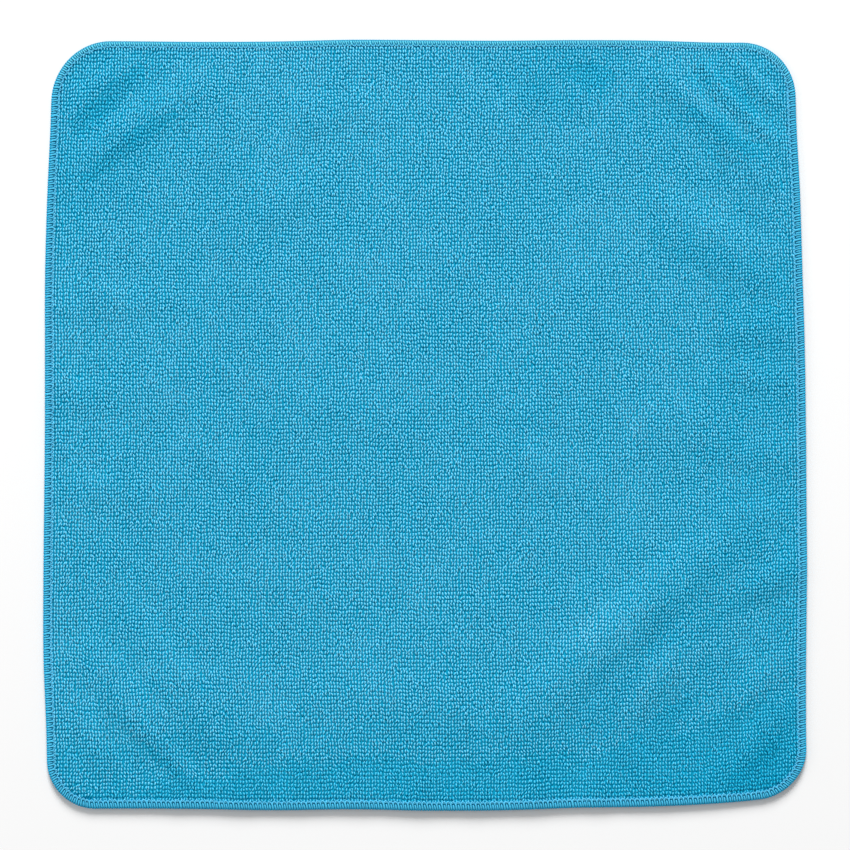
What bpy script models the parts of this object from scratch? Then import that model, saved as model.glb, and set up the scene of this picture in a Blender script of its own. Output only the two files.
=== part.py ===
"""A microfibre cleaning cloth, 400 mm square, lying open with its face up.

It is two pieces: a knitted terry panel with rounded corners, and the overlock edging, a band of
thread that wraps the panel's raw edge all the way round. The cloth rests on the plane z = 0. The
origin is under the middle of the cloth, +X points to the right and +Y to the top as seen from above.
Sizes are in millimetres, and the meshes are made in metres.
"""

import math
from collections import namedtuple

import bmesh
import bpy

MILLIMETRE = 0.001

# ---------------------------------------------------------------------------------------------
# The cloth as it is cut: a square with four rounded corners.

CUT_WIDTH = 400.0
CUT_HEIGHT = 400.0

Corner = namedtuple("Corner", "side_x side_y radius")
CORNERS = {
    "bottom left": Corner(side_x=-1, side_y=-1, radius=25.0),
    "bottom right": Corner(side_x=1, side_y=-1, radius=24.5),
    "top right": Corner(side_x=1, side_y=1, radius=28.5),
    "top left": Corner(side_x=-1, side_y=1, radius=31.0),
}

# ---------------------------------------------------------------------------------------------
# How the cloth lies: each side leaves its straight line by a few millimetres, outwards is
# positive. "place" runs along the side from the middle of the cloth, to the right on the bottom
# and top sides and upwards on the left and right sides.

Bow = namedtuple("Bow", "place left right bottom top")
BOWS = (
    Bow(place=-200, left=-3.9, right=-1.6, bottom=-0.5, top=-0.5),
    Bow(place=-160, left=-3.3, right=-2.1, bottom=-0.8, top=-0.6),
    Bow(place=-120, left=-1.8, right=-2.0, bottom=-0.6, top=-0.9),
    Bow(place=-80, left=-1.8, right=-1.6, bottom=0.0, top=-0.7),
    Bow(place=-40, left=-2.2, right=-1.9, bottom=-0.5, top=0.2),
    Bow(place=0, left=-2.6, right=-2.2, bottom=0.2, top=0.0),
    Bow(place=40, left=-2.6, right=-2.8, bottom=0.0, top=-0.3),
    Bow(place=80, left=-2.7, right=-4.0, bottom=-1.3, top=0.0),
    Bow(place=120, left=-3.8, right=-5.2, bottom=-1.9, top=-0.2),
    Bow(place=160, left=-5.6, right=-7.2, bottom=-4.0, top=-1.3),
    Bow(place=200, left=-6.5, right=-7.8, bottom=-7.7, top=-1.0),
)

# Soft folds and ripples, where the cloth rises off the surface. Each runs from one place to
# another, may bend sideways in the middle (to the left of its direction), fades out at both ends
# and is as wide as its half width on each side of its crest.

Fold = namedtuple("Fold", "name from_x from_y to_x to_y bend half_width height")
FOLDS = (
    Fold("top left, at the corner", -190, 157, -150, 189, 2, 12, 0.7),
    Fold("top left, long", -192, 125, -106, 182, 3, 14, 1.0),
    Fold("top right, at the corner", 145, 190, 182, 152, 3, 11, 0.7),
    Fold("top right, long", 110, 193, 186, 113, 5, 13, 1.2),
    Fold("right, above the middle", 106, 117, 196, 74, -3, 18, 1.5),
    Fold("right ripple, upper", 150, 52, 198, 49, 0, 12, 0.9),
    Fold("right ripple, middle", 146, 28, 198, 20, 0, 11, 0.6),
    Fold("right ripple, lower", 152, -13, 200, -18, 0, 13, 1.0),
    Fold("right, broad", 96, 1, 162, -9, 2, 22, 0.9),
    Fold("bottom right, broad", 24, -182, 190, -36, 2, 46, 1.3),
    Fold("bottom right, main", 40, -166, 172, -50, 4, 18, 1.6),
    Fold("bottom right, inner", 108, -156, 145, -110, 2, 13, 1.0),
    Fold("bottom right, at the corner", 156, -152, 188, -122, 0, 12, 0.8),
    Fold("right, by the main fold", 160, -90, 200, -68, -2, 13, 1.1),
    Fold("bottom left, long", -166, -86, -106, -156, -4, 15, 1.0),
    Fold("bottom left, second", -182, -112, -130, -167, -3, 14, 1.0),
    Fold("bottom left, at the corner", -192, -140, -160, -184, -2, 12, 0.7),
    Fold("left ripple, upper", -200, 63, -134, 60, 2, 13, 0.8),
    Fold("left ripple, middle", -200, 16, -142, 14, -1, 12, 0.7),
    Fold("left ripple, lower", -200, -36, -138, -39, 1, 13, 0.8),
    Fold("bottom swell, left", -182, -140, -14, -158, -4, 34, 1.2),
    Fold("bottom swell, right", -70, -150, 86, -160, 3, 30, 1.1),
    Fold("top, left of the middle", -80, 160, -14, 163, 0, 15, 0.6),
    Fold("inside, upper left", -100, 113, -50, 118, 2, 17, 0.6),
    Fold("inside, middle", -74, 5, -32, 9, 0, 15, 0.5),
    Fold("inside, right of the middle", 40, -21, 88, -34, 1, 17, 0.6),
)

# Short ripples across the bottom side, where the stitching draws the edge in.
RIPPLE_COUNT = 8
RIPPLE_FIRST_X = -128.0
RIPPLE_SPACING = 31.0
RIPPLE_LEAN = 5.0
RIPPLE_LEAN_TURN = 2.0
RIPPLE_FROM_Y = -203.0
RIPPLE_TO_Y = -166.0
RIPPLE_HALF_WIDTH = 12.0
RIPPLE_HEIGHT = 0.5

# ---------------------------------------------------------------------------------------------
# The overlock edging, a C-shaped band round the raw edge.

EDGING_WIDTH = 4.2
EDGING_NARROWER_AT_TOP = 1.1
EDGING_THICKNESS = 2.8
EDGING_WALL = 0.65
EDGING_BACK = 0.9

# Its outer side is rounded by two bevels, and the lips of its legs by a small one.
ROUND_INSET = 1.0
ROUND_MIDDLE_INSET = 0.3
ROUND_MIDDLE_HEIGHT = 0.45
LIP_HEIGHT = 0.2
LIP_START = 0.8

# The terry panel. Under the stitching it is squeezed to a thin tongue, and from there it
# swells to its full thickness. Inset is measured from the cloth's outline.

PIECE_GAP = 0.3
PANEL_THICKNESS = 2.6

# Mesh steps along a straight side, and round a corner.
SIDE_STEPS = 36
CORNER_STEPS = 8

Finish = namedtuple("Finish", "colour roughness")
TERRY_FINISH = Finish(colour=(0.036, 0.36, 0.56), roughness=0.95)
THREAD_FINISH = Finish(colour=(0.055, 0.41, 0.64), roughness=0.80)

# ---------------------------------------------------------------------------------------------
# Small helpers.


def blend(start, end, share):
    """The value at a share of the way from start to end."""
    return start + (end - start) * share


def smooth_table(rows, place, column):
    """A smooth curve through one column of a table whose rows are evenly spaced."""
    first = rows[0].place
    spacing = rows[1].place - first
    position = (place - first) / spacing
    index = min(max(math.floor(position), 0), len(rows) - 2)
    share = min(max(position - index, 0.0), 1.0)

    def value(row):
        return getattr(rows[min(max(row, 0), len(rows) - 1)], column)

    before, here, after, beyond = (value(index + step) for step in (-1, 0, 1, 2))
    slope_here = (after - before) / 2
    slope_after = (beyond - here) / 2
    rise = after - here
    cubic = slope_here + slope_after - 2 * rise
    square = 3 * rise - 2 * slope_here - slope_after
    return here + share * (slope_here + share * (square + share * cubic))


# ---------------------------------------------------------------------------------------------
# From the cut cloth to the cloth as it lies.


def lay(cut_x, cut_y):
    """Where a place on the cut cloth comes to lie, seen from above."""
    share_x = cut_x / CUT_WIDTH + 0.5
    share_y = cut_y / CUT_HEIGHT + 0.5
    pull_left = -smooth_table(BOWS, cut_y, "left")
    pull_right = smooth_table(BOWS, cut_y, "right")
    pull_bottom = -smooth_table(BOWS, cut_x, "bottom")
    pull_top = smooth_table(BOWS, cut_x, "top")
    return (
        cut_x + blend(pull_left, pull_right, share_x),
        cut_y + blend(pull_bottom, pull_top, share_y),
    )


def bottom_ripples():
    """The row of short folds across the bottom side, each with a lean of its own."""
    for index in range(RIPPLE_COUNT):
        place = RIPPLE_FIRST_X + index * RIPPLE_SPACING
        lean = RIPPLE_LEAN * math.sin(index * RIPPLE_LEAN_TURN)
        yield Fold(
            name=f"bottom ripple {index + 1}",
            from_x=place,
            from_y=RIPPLE_FROM_Y,
            to_x=place + lean,
            to_y=RIPPLE_TO_Y,
            bend=0.0,
            half_width=RIPPLE_HALF_WIDTH,
            height=RIPPLE_HEIGHT,
        )


def fold_height(fold, x, y):
    """How high one fold lifts the cloth at a place."""
    along_x = fold.to_x - fold.from_x
    along_y = fold.to_y - fold.from_y
    length = math.hypot(along_x, along_y)
    from_x = x - fold.from_x
    from_y = y - fold.from_y
    share = (from_x * along_x + from_y * along_y) / length**2
    if not 0.0 < share < 1.0:
        return 0.0
    arch = 4 * share * (1 - share)
    aside = (along_x * from_y - along_y * from_x) / length - fold.bend * arch
    off_crest = abs(aside) / fold.half_width
    if off_crest >= 1.0:
        return 0.0
    return fold.height * (1 - off_crest**2) ** 2 * arch


ALL_FOLDS = FOLDS + tuple(bottom_ripples())


def lift(x, y):
    """The height of the cloth's underside over the surface that it lies on."""
    return sum(fold_height(fold, x, y) for fold in ALL_FOLDS)


def place_point(cut_x, cut_y, height):
    """A point in metres, from a place on the cut cloth and a height above its underside."""
    x, y = lay(cut_x, cut_y)
    z = height + lift(x, y)
    return (x * MILLIMETRE, y * MILLIMETRE, z * MILLIMETRE)


# ---------------------------------------------------------------------------------------------
# The outline, as a ring of stations. Each station has a base point well inside the cloth, and
# the outline lies at its depth from there, straight out along its direction.

Station = namedtuple("Station", "base_x base_y out_x out_y depth grid")


def corner_centre(name):
    """The middle of a corner's arc."""
    corner = CORNERS[name]
    return (
        corner.side_x * (CUT_WIDTH / 2 - corner.radius),
        corner.side_y * (CUT_HEIGHT / 2 - corner.radius),
    )


def side_stations(start, end, out, grid_of):
    """Stations along one straight side, between the centres of its two corners."""
    from_x, from_y = corner_centre(start)
    to_x, to_y = corner_centre(end)
    for step in range(SIDE_STEPS + 1):
        share = step / SIDE_STEPS
        yield Station(
            base_x=blend(from_x, to_x, share),
            base_y=blend(from_y, to_y, share),
            out_x=out[0],
            out_y=out[1],
            depth=blend(CORNERS[start].radius, CORNERS[end].radius, share),
            grid=grid_of(step),
        )


def corner_stations(name, first_angle, grid):
    """Stations round one corner, without the two that its sides already have."""
    centre_x, centre_y = corner_centre(name)
    for step in range(1, CORNER_STEPS):
        angle = math.radians(first_angle + 90.0 * step / CORNER_STEPS)
        yield Station(
            base_x=centre_x,
            base_y=centre_y,
            out_x=math.cos(angle),
            out_y=math.sin(angle),
            depth=CORNERS[name].radius,
            grid=grid,
        )


def outline_stations():
    """All stations, anticlockwise from the left end of the bottom side."""
    last = SIDE_STEPS
    return [
        *side_stations("bottom left", "bottom right", (0, -1), lambda step: (step, 0)),
        *corner_stations("bottom right", -90.0, (last, 0)),
        *side_stations("bottom right", "top right", (1, 0), lambda step: (last, step)),
        *corner_stations("top right", 0.0, (last, last)),
        *side_stations("top right", "top left", (0, 1), lambda step: (last - step, last)),
        *corner_stations("top left", 90.0, (0, last)),
        *side_stations("top left", "bottom left", (-1, 0), lambda step: (0, last - step)),
        *corner_stations("bottom left", 180.0, (0, 0)),
    ]


def edging_width(station):
    """The band's width: it looks narrower along the top, where the edge rolls away."""
    return EDGING_WIDTH - EDGING_NARROWER_AT_TOP * max(0.0, station.out_y) ** 2


def station_point(station, inset, height):
    """A point at an inset from the outline, on a station's line."""
    reach = station.depth - inset
    return place_point(
        station.base_x + station.out_x * reach,
        station.base_y + station.out_y * reach,
        height,
    )


# ---------------------------------------------------------------------------------------------
# The two pieces.

# Rows of the panel from its raw edge inwards. A row's inset starts at the cloth's outline, or
# past the edging's inner lip, and its underside and face are heights over the lying plane.
TONGUE_LOW = EDGING_WALL + PIECE_GAP
TONGUE_HIGH = EDGING_THICKNESS - EDGING_WALL - PIECE_GAP
PanelRow = namedtuple("PanelRow", "past_edging inset underside face")
PANEL_ROWS = (
    PanelRow(past_edging=False, inset=EDGING_BACK + PIECE_GAP, underside=TONGUE_LOW, face=TONGUE_HIGH),
    PanelRow(past_edging=True, inset=PIECE_GAP, underside=TONGUE_LOW, face=TONGUE_HIGH),
    PanelRow(past_edging=True, inset=1.1, underside=0.25, face=2.35),
    PanelRow(past_edging=True, inset=2.6, underside=0.0, face=PANEL_THICKNESS),
    PanelRow(past_edging=True, inset=8.5, underside=0.0, face=PANEL_THICKNESS),
    PanelRow(past_edging=True, inset=16.0, underside=0.0, face=PANEL_THICKNESS),
)

# The section of the edging, from the tip of its lower leg round the outside to the tip of its
# upper leg, and back through the slot that holds the panel's edge. A point lies at its inset plus
# its share of the band's width from the cloth's outline.
SectionPoint = namedtuple("SectionPoint", "width_share inset height")
EDGING_SECTION = (
    SectionPoint(width_share=1.0, inset=0.0, height=LIP_HEIGHT),
    SectionPoint(width_share=LIP_START, inset=0.0, height=0.0),
    SectionPoint(width_share=0.0, inset=ROUND_INSET, height=0.0),
    SectionPoint(width_share=0.0, inset=ROUND_MIDDLE_INSET, height=ROUND_MIDDLE_HEIGHT),
    SectionPoint(width_share=0.0, inset=0.0, height=EDGING_THICKNESS / 2),
    SectionPoint(
        width_share=0.0, inset=ROUND_MIDDLE_INSET, height=EDGING_THICKNESS - ROUND_MIDDLE_HEIGHT
    ),
    SectionPoint(width_share=0.0, inset=ROUND_INSET, height=EDGING_THICKNESS),
    SectionPoint(width_share=LIP_START, inset=0.0, height=EDGING_THICKNESS),
    SectionPoint(width_share=1.0, inset=0.0, height=EDGING_THICKNESS - LIP_HEIGHT),
    SectionPoint(width_share=1.0, inset=0.0, height=EDGING_THICKNESS - EDGING_WALL),
    SectionPoint(width_share=0.0, inset=EDGING_BACK, height=EDGING_THICKNESS - EDGING_WALL),
    SectionPoint(width_share=0.0, inset=EDGING_BACK, height=EDGING_WALL),
    SectionPoint(width_share=1.0, inset=0.0, height=EDGING_WALL),
)


def add_faces(mesh, loops):
    """Adds triangles for loops of three or four vertices, where one may follow itself.

    A loop of four is cut between the two corners that are nearest in height, so that the facets
    follow the folds whichever way they run.
    """
    for loop in loops:
        corners = [vertex for index, vertex in enumerate(loop) if vertex is not loop[index - 1]]
        if len(corners) == 3:
            mesh.faces.new(corners)
        elif len(corners) == 4:
            first, second, third, fourth = corners
            if abs(first.co.z - third.co.z) > abs(second.co.z - fourth.co.z):
                first, second, third, fourth = second, third, fourth, first
            mesh.faces.new((first, second, third))
            mesh.faces.new((first, third, fourth))


def ring_quads(outer, inner):
    """Quads between two closed rows of vertices that run anticlockwise."""
    count = len(outer)
    for index in range(count):
        after = (index + 1) % count
        yield [outer[index], outer[after], inner[after], inner[index]]


def grid_point(column, row, height):
    """A point of the inner grid, which spans the centres of the four corners."""
    share_x = column / SIDE_STEPS
    share_y = row / SIDE_STEPS
    low_x, low_y = (
        blend(start, end, share_x)
        for start, end in zip(corner_centre("bottom left"), corner_centre("bottom right"))
    )
    high_x, high_y = (
        blend(start, end, share_x)
        for start, end in zip(corner_centre("top left"), corner_centre("top right"))
    )
    return place_point(blend(low_x, high_x, share_y), blend(low_y, high_y, share_y), height)


def panel_skin(mesh, stations, heights):
    """One side of the panel: closed rows round the edge and a grid inside them."""
    grid_height = heights[-1]
    rows = []
    for panel_row, height in zip(PANEL_ROWS, heights):
        rows.append([
            mesh.verts.new(station_point(
                station,
                panel_row.inset + panel_row.past_edging * edging_width(station),
                height,
            ))
            for station in stations
        ])
    grid = [
        [mesh.verts.new(grid_point(column, row, grid_height)) for row in range(SIDE_STEPS + 1)]
        for column in range(SIDE_STEPS + 1)
    ]
    rows.append([grid[station.grid[0]][station.grid[1]] for station in stations])
    faces = [quad for outer, inner in zip(rows, rows[1:]) for quad in ring_quads(outer, inner)]
    for column in range(SIDE_STEPS):
        for row in range(SIDE_STEPS):
            faces.append([
                grid[column][row],
                grid[column + 1][row],
                grid[column + 1][row + 1],
                grid[column][row + 1],
            ])
    return rows[0], faces


def build_panel(stations):
    """The knitted terry panel, a thin sheet with its tongue all round."""
    mesh = bmesh.new()
    face_heights = [row.face for row in PANEL_ROWS]
    under_heights = [row.underside for row in PANEL_ROWS]
    face_edge, face_quads = panel_skin(mesh, stations, face_heights)
    under_edge, under_quads = panel_skin(mesh, stations, under_heights)
    add_faces(mesh, face_quads)
    add_faces(mesh, [quad[::-1] for quad in under_quads])
    add_faces(mesh, ring_quads(under_edge, face_edge))
    return mesh


def build_edging(stations):
    """The band of overlock thread, one closed ring with a C-shaped section."""
    mesh = bmesh.new()
    rows = []
    for point in EDGING_SECTION:
        rows.append([
            mesh.verts.new(station_point(
                station,
                point.inset + point.width_share * edging_width(station),
                point.height,
            ))
            for station in stations
        ])
    for index, row in enumerate(rows):
        add_faces(mesh, ring_quads(rows[index - 1], row))
    return mesh


# ---------------------------------------------------------------------------------------------
# Objects and their materials.

SHARPEST_SMOOTH_ANGLE = math.radians(40)


def make_material(name, finish):
    """A plain cloth or thread finish."""
    material = bpy.data.materials.new(name)
    material.use_nodes = True
    shader = material.node_tree.nodes["Principled BSDF"]
    shader.inputs["Base Color"].default_value = (*finish.colour, 1.0)
    shader.inputs["Roughness"].default_value = finish.roughness
    shader.inputs["Metallic"].default_value = 0.0
    material.diffuse_color = (*finish.colour, 1.0)
    return material


def add_piece(name, mesh, material):
    """Turns a finished mesh into a named object with its material."""
    bmesh.ops.recalc_face_normals(mesh, faces=mesh.faces)
    data = bpy.data.meshes.new(name)
    mesh.to_mesh(data)
    mesh.free()
    data.materials.append(material)
    data.shade_smooth()
    data.set_sharp_from_angle(angle=SHARPEST_SMOOTH_ANGLE)
    piece = bpy.data.objects.new(name, data)
    bpy.context.scene.collection.objects.link(piece)
    return piece


def clear_scene():
    """Removes whatever objects the file starts with."""
    for thing in list(bpy.data.objects):
        bpy.data.objects.remove(thing)


def main():
    clear_scene()
    stations = outline_stations()
    terry = make_material("terry knit", TERRY_FINISH)
    thread = make_material("overlock thread", THREAD_FINISH)
    add_piece("terry_panel", build_panel(stations), terry)
    add_piece("overlock_edging", build_edging(stations), thread)


main()
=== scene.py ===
# %% [markdown]
# # A microfibre cleaning cloth
#
# The object is a square of looped microfibre terry, 400 mm wide, with its raw edge sewn over by an
# overlock stitch. It lies open on a plain surface and is seen from straight above. We dress a packed
# CAD model, which gives the cloth's outline, its folds and its thickness. Here we make what the CAD
# model leaves out: the ground knit, the fifty thousand small loops of the pile, and the threads of
# the overlock stitch.
#
# The first step loads the CAD model. It stays the fixed frame that every new piece has to fit.

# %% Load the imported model
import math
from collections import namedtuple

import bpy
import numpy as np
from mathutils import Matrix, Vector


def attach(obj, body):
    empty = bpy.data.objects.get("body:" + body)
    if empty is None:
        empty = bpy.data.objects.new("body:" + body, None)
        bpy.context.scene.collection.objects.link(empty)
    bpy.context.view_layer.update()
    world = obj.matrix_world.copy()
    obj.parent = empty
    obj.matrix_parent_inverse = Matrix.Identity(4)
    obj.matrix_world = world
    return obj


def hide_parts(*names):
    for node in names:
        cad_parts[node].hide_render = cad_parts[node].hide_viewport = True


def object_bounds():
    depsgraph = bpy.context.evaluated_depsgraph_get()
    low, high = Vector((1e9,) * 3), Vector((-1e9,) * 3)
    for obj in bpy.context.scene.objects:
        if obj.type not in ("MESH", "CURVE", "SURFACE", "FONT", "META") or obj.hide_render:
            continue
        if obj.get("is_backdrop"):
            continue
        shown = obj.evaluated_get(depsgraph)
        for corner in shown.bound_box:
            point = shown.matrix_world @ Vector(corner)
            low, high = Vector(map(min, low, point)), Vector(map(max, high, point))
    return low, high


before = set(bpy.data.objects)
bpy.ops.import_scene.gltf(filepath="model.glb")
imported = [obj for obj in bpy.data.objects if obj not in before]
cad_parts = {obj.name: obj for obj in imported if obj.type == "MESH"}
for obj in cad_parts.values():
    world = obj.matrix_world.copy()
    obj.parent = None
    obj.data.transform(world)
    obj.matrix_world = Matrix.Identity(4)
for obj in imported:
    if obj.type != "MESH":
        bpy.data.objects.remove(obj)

# %% [markdown]
# All sizes in this lesson are millimetres, because that is how a maker thinks of cloth. Blender counts
# in metres, so each size is multiplied by `MM` as it enters a mesh. We print the CAD model's size, to
# set beside the dressed cloth's at the end, and deselect its nodes, because Blender's operators act on
# all that is selected.

MM = 0.001
cad_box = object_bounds()
bpy.ops.object.select_all(action="DESELECT")
cad_size = [round((high - low) / MM, 1) for low, high in zip(*cad_box)]
print("The CAD model measures", cad_size, "mm")

# %% [markdown]
# ## Camera
#
# The photograph is square and looks straight down on the cloth. A product photographer stands well
# back with a long lens, so that the edges aren't seen at a slant. How far back follows from the
# cloth itself: 400 mm of it cover 769 of the picture's 850 pixels.

# %% The camera, straight above the cloth
CUT_SIZE = 400.0
CUT_SIZE_IN_PIXELS = 769.0
PHOTO_PIXELS = 850.0
LENS_LENGTH = 100.0
SENSOR_WIDTH = 36.0
PILE_HEIGHT = 2.6

view_width = CUT_SIZE * PHOTO_PIXELS / CUT_SIZE_IN_PIXELS
camera_height = PILE_HEIGHT + view_width * LENS_LENGTH / SENSOR_WIDTH
bpy.ops.object.camera_add(location=(0.0, 0.0, camera_height * MM), rotation=(0.0, 0.0, 0.0))
camera = bpy.context.object
camera.data.lens = LENS_LENGTH
camera.data.sensor_width = SENSOR_WIDTH
bpy.context.scene.camera = camera
bpy.context.scene.view_settings.view_transform = "Standard"
print("The camera stands", round(camera_height), "mm above the surface")

# %% [markdown]
# ## Materials as expressions
#
# A material is a small sum: how dark a groove is, times how blue the yarn is, plus a little noise.
# Written as nodes, such a sum is long. So one small class wraps a socket, and `+`, `-`, `*` and `/`
# on it add the Math nodes.

# %% A value in a material
class Signal:
    """A value that one node hands to the next."""

    def __init__(self, finish, socket):
        self.finish = finish
        self.socket = socket

    def math_node(self, operation, first, second):
        """The result of one Math node."""
        inputs = {0: first, 1: second}
        node = self.finish.node("ShaderNodeMath", {"operation": operation}, inputs)
        return Signal(self.finish, node.outputs[0])

    def __add__(self, other):
        return self.math_node("ADD", self, other)

    def __radd__(self, other):
        return self.math_node("ADD", other, self)

    def __sub__(self, other):
        return self.math_node("SUBTRACT", self, other)

    def __rsub__(self, other):
        return self.math_node("SUBTRACT", other, self)

    def __mul__(self, other):
        return self.math_node("MULTIPLY", self, other)

    def __rmul__(self, other):
        return self.math_node("MULTIPLY", other, self)

    def __truediv__(self, other):
        return self.math_node("DIVIDE", self, other)

    def sine(self):
        return self.math_node("SINE", self, 0.0)

    def power(self, exponent):
        return self.math_node("POWER", self, exponent)

    def within(self, low, high):
        """The value held between two limits."""
        return self.math_node("MINIMUM", self.math_node("MAXIMUM", self, low), high)


# %% [markdown]
# A second class holds one material. A single method adds any other node: its settings are set first,
# then its sockets get their values or links. The methods after it are short names for the nodes that
# this cloth needs more than once: a number or a map that the mesh carries, noise, a blend of two
# colours, and relief.

# %% A material
# A Mix node has sockets for numbers, vectors and colours. These are the places of its colour sockets.
MIX_FACTOR = 0
MIX_FIRST = 6
MIX_SECOND = 7
MIX_RESULT = 2


class Finish:
    """One material, with its Principled shader."""

    def __init__(self, name):
        self.material = bpy.data.materials.new(name)
        self.material.use_nodes = True
        self.tree = self.material.node_tree
        self.shader = self.tree.nodes["Principled BSDF"]

    def node(self, kind, settings=None, inputs=None):
        """Adds a node: its settings first, then the values or links of its sockets."""
        node = self.tree.nodes.new(kind)
        for name, value in (settings or {}).items():
            setattr(node, name, value)
        for name, value in (inputs or {}).items():
            self.feed(node.inputs[name], value)
        return node

    def feed(self, socket, value):
        if isinstance(value, Signal):
            self.tree.links.new(value.socket, socket)
        else:
            socket.default_value = value

    def output(self, node, name=0):
        """A node's output as a signal."""
        return Signal(self, node.outputs[name])

    def attribute(self, name):
        """A number that the mesh carries at each of its points."""
        node = self.node("ShaderNodeAttribute", {"attribute_name": name})
        return self.output(node, "Fac")

    def across_and_up(self, place):
        """The first two coordinates of a place, as separate values."""
        parts = self.node("ShaderNodeSeparateXYZ", None, {"Vector": place})
        return self.output(parts, "X"), self.output(parts, "Y")

    def uv(self, name):
        """The two coordinates of a UV map."""
        return self.across_and_up(self.output(self.node("ShaderNodeUVMap", {"uv_map": name})))

    def place_on_object(self):
        """A place in the object's own coordinates, in metres."""
        return self.output(self.node("ShaderNodeTexCoord"), "Object")

    def noise(self, place, scale, detail=2.0):
        """Soft noise, around 0.5."""
        settings = {"noise_dimensions": "3D"}
        inputs = {"Vector": place, "Scale": scale, "Detail": detail}
        return self.output(self.node("ShaderNodeTexNoise", settings, inputs), "Fac")

    def vector(self, x, y, z):
        return self.output(self.node("ShaderNodeCombineXYZ", None, {"X": x, "Y": y, "Z": z}))

    def blend(self, share, first, second):
        """A colour between two others."""
        inputs = {MIX_FACTOR: share, MIX_FIRST: first, MIX_SECOND: second}
        settings = {"data_type": "RGBA", "clamp_factor": True}
        return self.output(self.node("ShaderNodeMix", settings, inputs), MIX_RESULT)

    def set(self, **values):
        """Sets sockets of the shader; spaces in their names are written as underscores."""
        for name, value in values.items():
            self.feed(self.shader.inputs[name.replace("_", " ")], value)

    def bump(self, height, distance):
        """Relief from a height signal, in millimetres."""
        inputs = {"Height": height, "Distance": distance * MM, "Strength": 1.0}
        self.set(Normal=self.output(self.node("ShaderNodeBump", None, inputs)))


# %% [markdown]
# ## Surface and light
#
# The surface is a plain pale floor that renders nearly white. One large plane is enough. It lies a
# hair below the cloth's underside, because two faces at the same height show through each other in
# patches.

# %% The floor
FLOOR_SIZE = 24000.0
FLOOR_DROP = 0.05
FLOOR_COLOUR = (0.93, 0.93, 0.93, 1.0)

bpy.ops.mesh.primitive_plane_add(size=FLOOR_SIZE * MM, location=(0.0, 0.0, -FLOOR_DROP * MM))
floor = bpy.context.object
floor.name = "floor"
floor_finish = Finish("pale floor")
floor_finish.set(Base_Color=FLOOR_COLOUR, Roughness=1.0, Specular_IOR_Level=0.0)
floor.data.materials.append(floor_finish.material)
floor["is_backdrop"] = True
print("The floor is", round(FLOOR_SIZE * MM), "m wide")

# %% [markdown]
# The shadow in the photograph is soft, lies along the lower side, and is only a hint on the right. So
# one large soft lamp stands low beyond the upper side and a much weaker one to the left, with an even
# fill from all round. A lamp close by would light one end of the cloth more. Lamps this far away
# light both ends alike, and their width sets how soft the shadow's edge is.

# %% The lamps and the fill
Lamp = namedtuple("Lamp", "name to_the_left elevation width light_on_floor")
LAMP_DISTANCE = 5200.0
LAMPS = (
    Lamp(name="key", to_the_left=1.0, elevation=27.0, width=2300.0, light_on_floor=0.65),
    Lamp(name="side", to_the_left=82.0, elevation=27.0, width=2400.0, light_on_floor=0.06),
)
FILL_ON_FLOOR = 0.40


def stand_lamp(lamp):
    """A round soft lamp that aims at the cloth and gives a white floor the named light."""
    elevation = math.radians(lamp.elevation)
    aside = math.radians(lamp.to_the_left)
    direction = Vector((
        -math.sin(aside) * math.cos(elevation),
        math.cos(aside) * math.cos(elevation),
        math.sin(elevation),
    ))
    bpy.ops.object.light_add(type="AREA", location=direction * LAMP_DISTANCE * MM)
    light = bpy.context.object
    light.name = lamp.name
    light.data.shape = "DISK"
    light.data.size = lamp.width * MM
    # A white floor right under a lamp shows its watts over the square of pi times its distance.
    spread = (math.pi * LAMP_DISTANCE * MM) ** 2
    light.data.energy = spread * lamp.light_on_floor / math.sin(elevation)
    light.rotation_euler = (-direction).to_track_quat("-Z", "Y").to_euler()
    print("The", lamp.name, "lamp has", round(light.data.energy), "watts")


for lamp in LAMPS:
    stand_lamp(lamp)

world = bpy.data.worlds.new("even fill")
world.use_nodes = True
fill = world.node_tree.nodes["Background"]
fill.inputs["Color"].default_value = (1.0, 1.0, 1.0, 1.0)
fill.inputs["Strength"].default_value = FILL_ON_FLOOR
bpy.context.scene.world = world

# %% [markdown]
# ## How the cloth lies
#
# The cloth is cut as a square with four rounded corners, no two quite alike. Then it lies a little
# unevenly: each side bows by a few millimetres, and soft folds lift it off the surface. Every piece
# has to follow the same folds, or the loops would float over the ground. So we write the laying
# once, as functions from a place on the flat cut cloth to a place in the scene. The tables repeat
# those of the CAD model, and the functions take whole arrays of places, because there are many.

# %% The cut square and how its sides bow
Corner = namedtuple("Corner", "side_x side_y radius")
CORNERS = {
    "bottom left": Corner(side_x=-1, side_y=-1, radius=25.0),
    "bottom right": Corner(side_x=1, side_y=-1, radius=24.5),
    "top right": Corner(side_x=1, side_y=1, radius=28.5),
    "top left": Corner(side_x=-1, side_y=1, radius=31.0),
}
HALF_CUT = CUT_SIZE / 2

Bow = namedtuple("Bow", "place left right bottom top")
BOWS = (
    Bow(place=-200, left=-3.9, right=-1.6, bottom=-0.5, top=-0.5),
    Bow(place=-160, left=-3.3, right=-2.1, bottom=-0.8, top=-0.6),
    Bow(place=-120, left=-1.8, right=-2.0, bottom=-0.6, top=-0.9),
    Bow(place=-80, left=-1.8, right=-1.6, bottom=0.0, top=-0.7),
    Bow(place=-40, left=-2.2, right=-1.9, bottom=-0.5, top=0.2),
    Bow(place=0, left=-2.6, right=-2.2, bottom=0.2, top=0.0),
    Bow(place=40, left=-2.6, right=-2.8, bottom=0.0, top=-0.3),
    Bow(place=80, left=-2.7, right=-4.0, bottom=-1.3, top=0.0),
    Bow(place=120, left=-3.8, right=-5.2, bottom=-1.9, top=-0.2),
    Bow(place=160, left=-5.6, right=-7.2, bottom=-4.0, top=-1.3),
    Bow(place=200, left=-6.5, right=-7.8, bottom=-7.7, top=-1.0),
)


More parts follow.
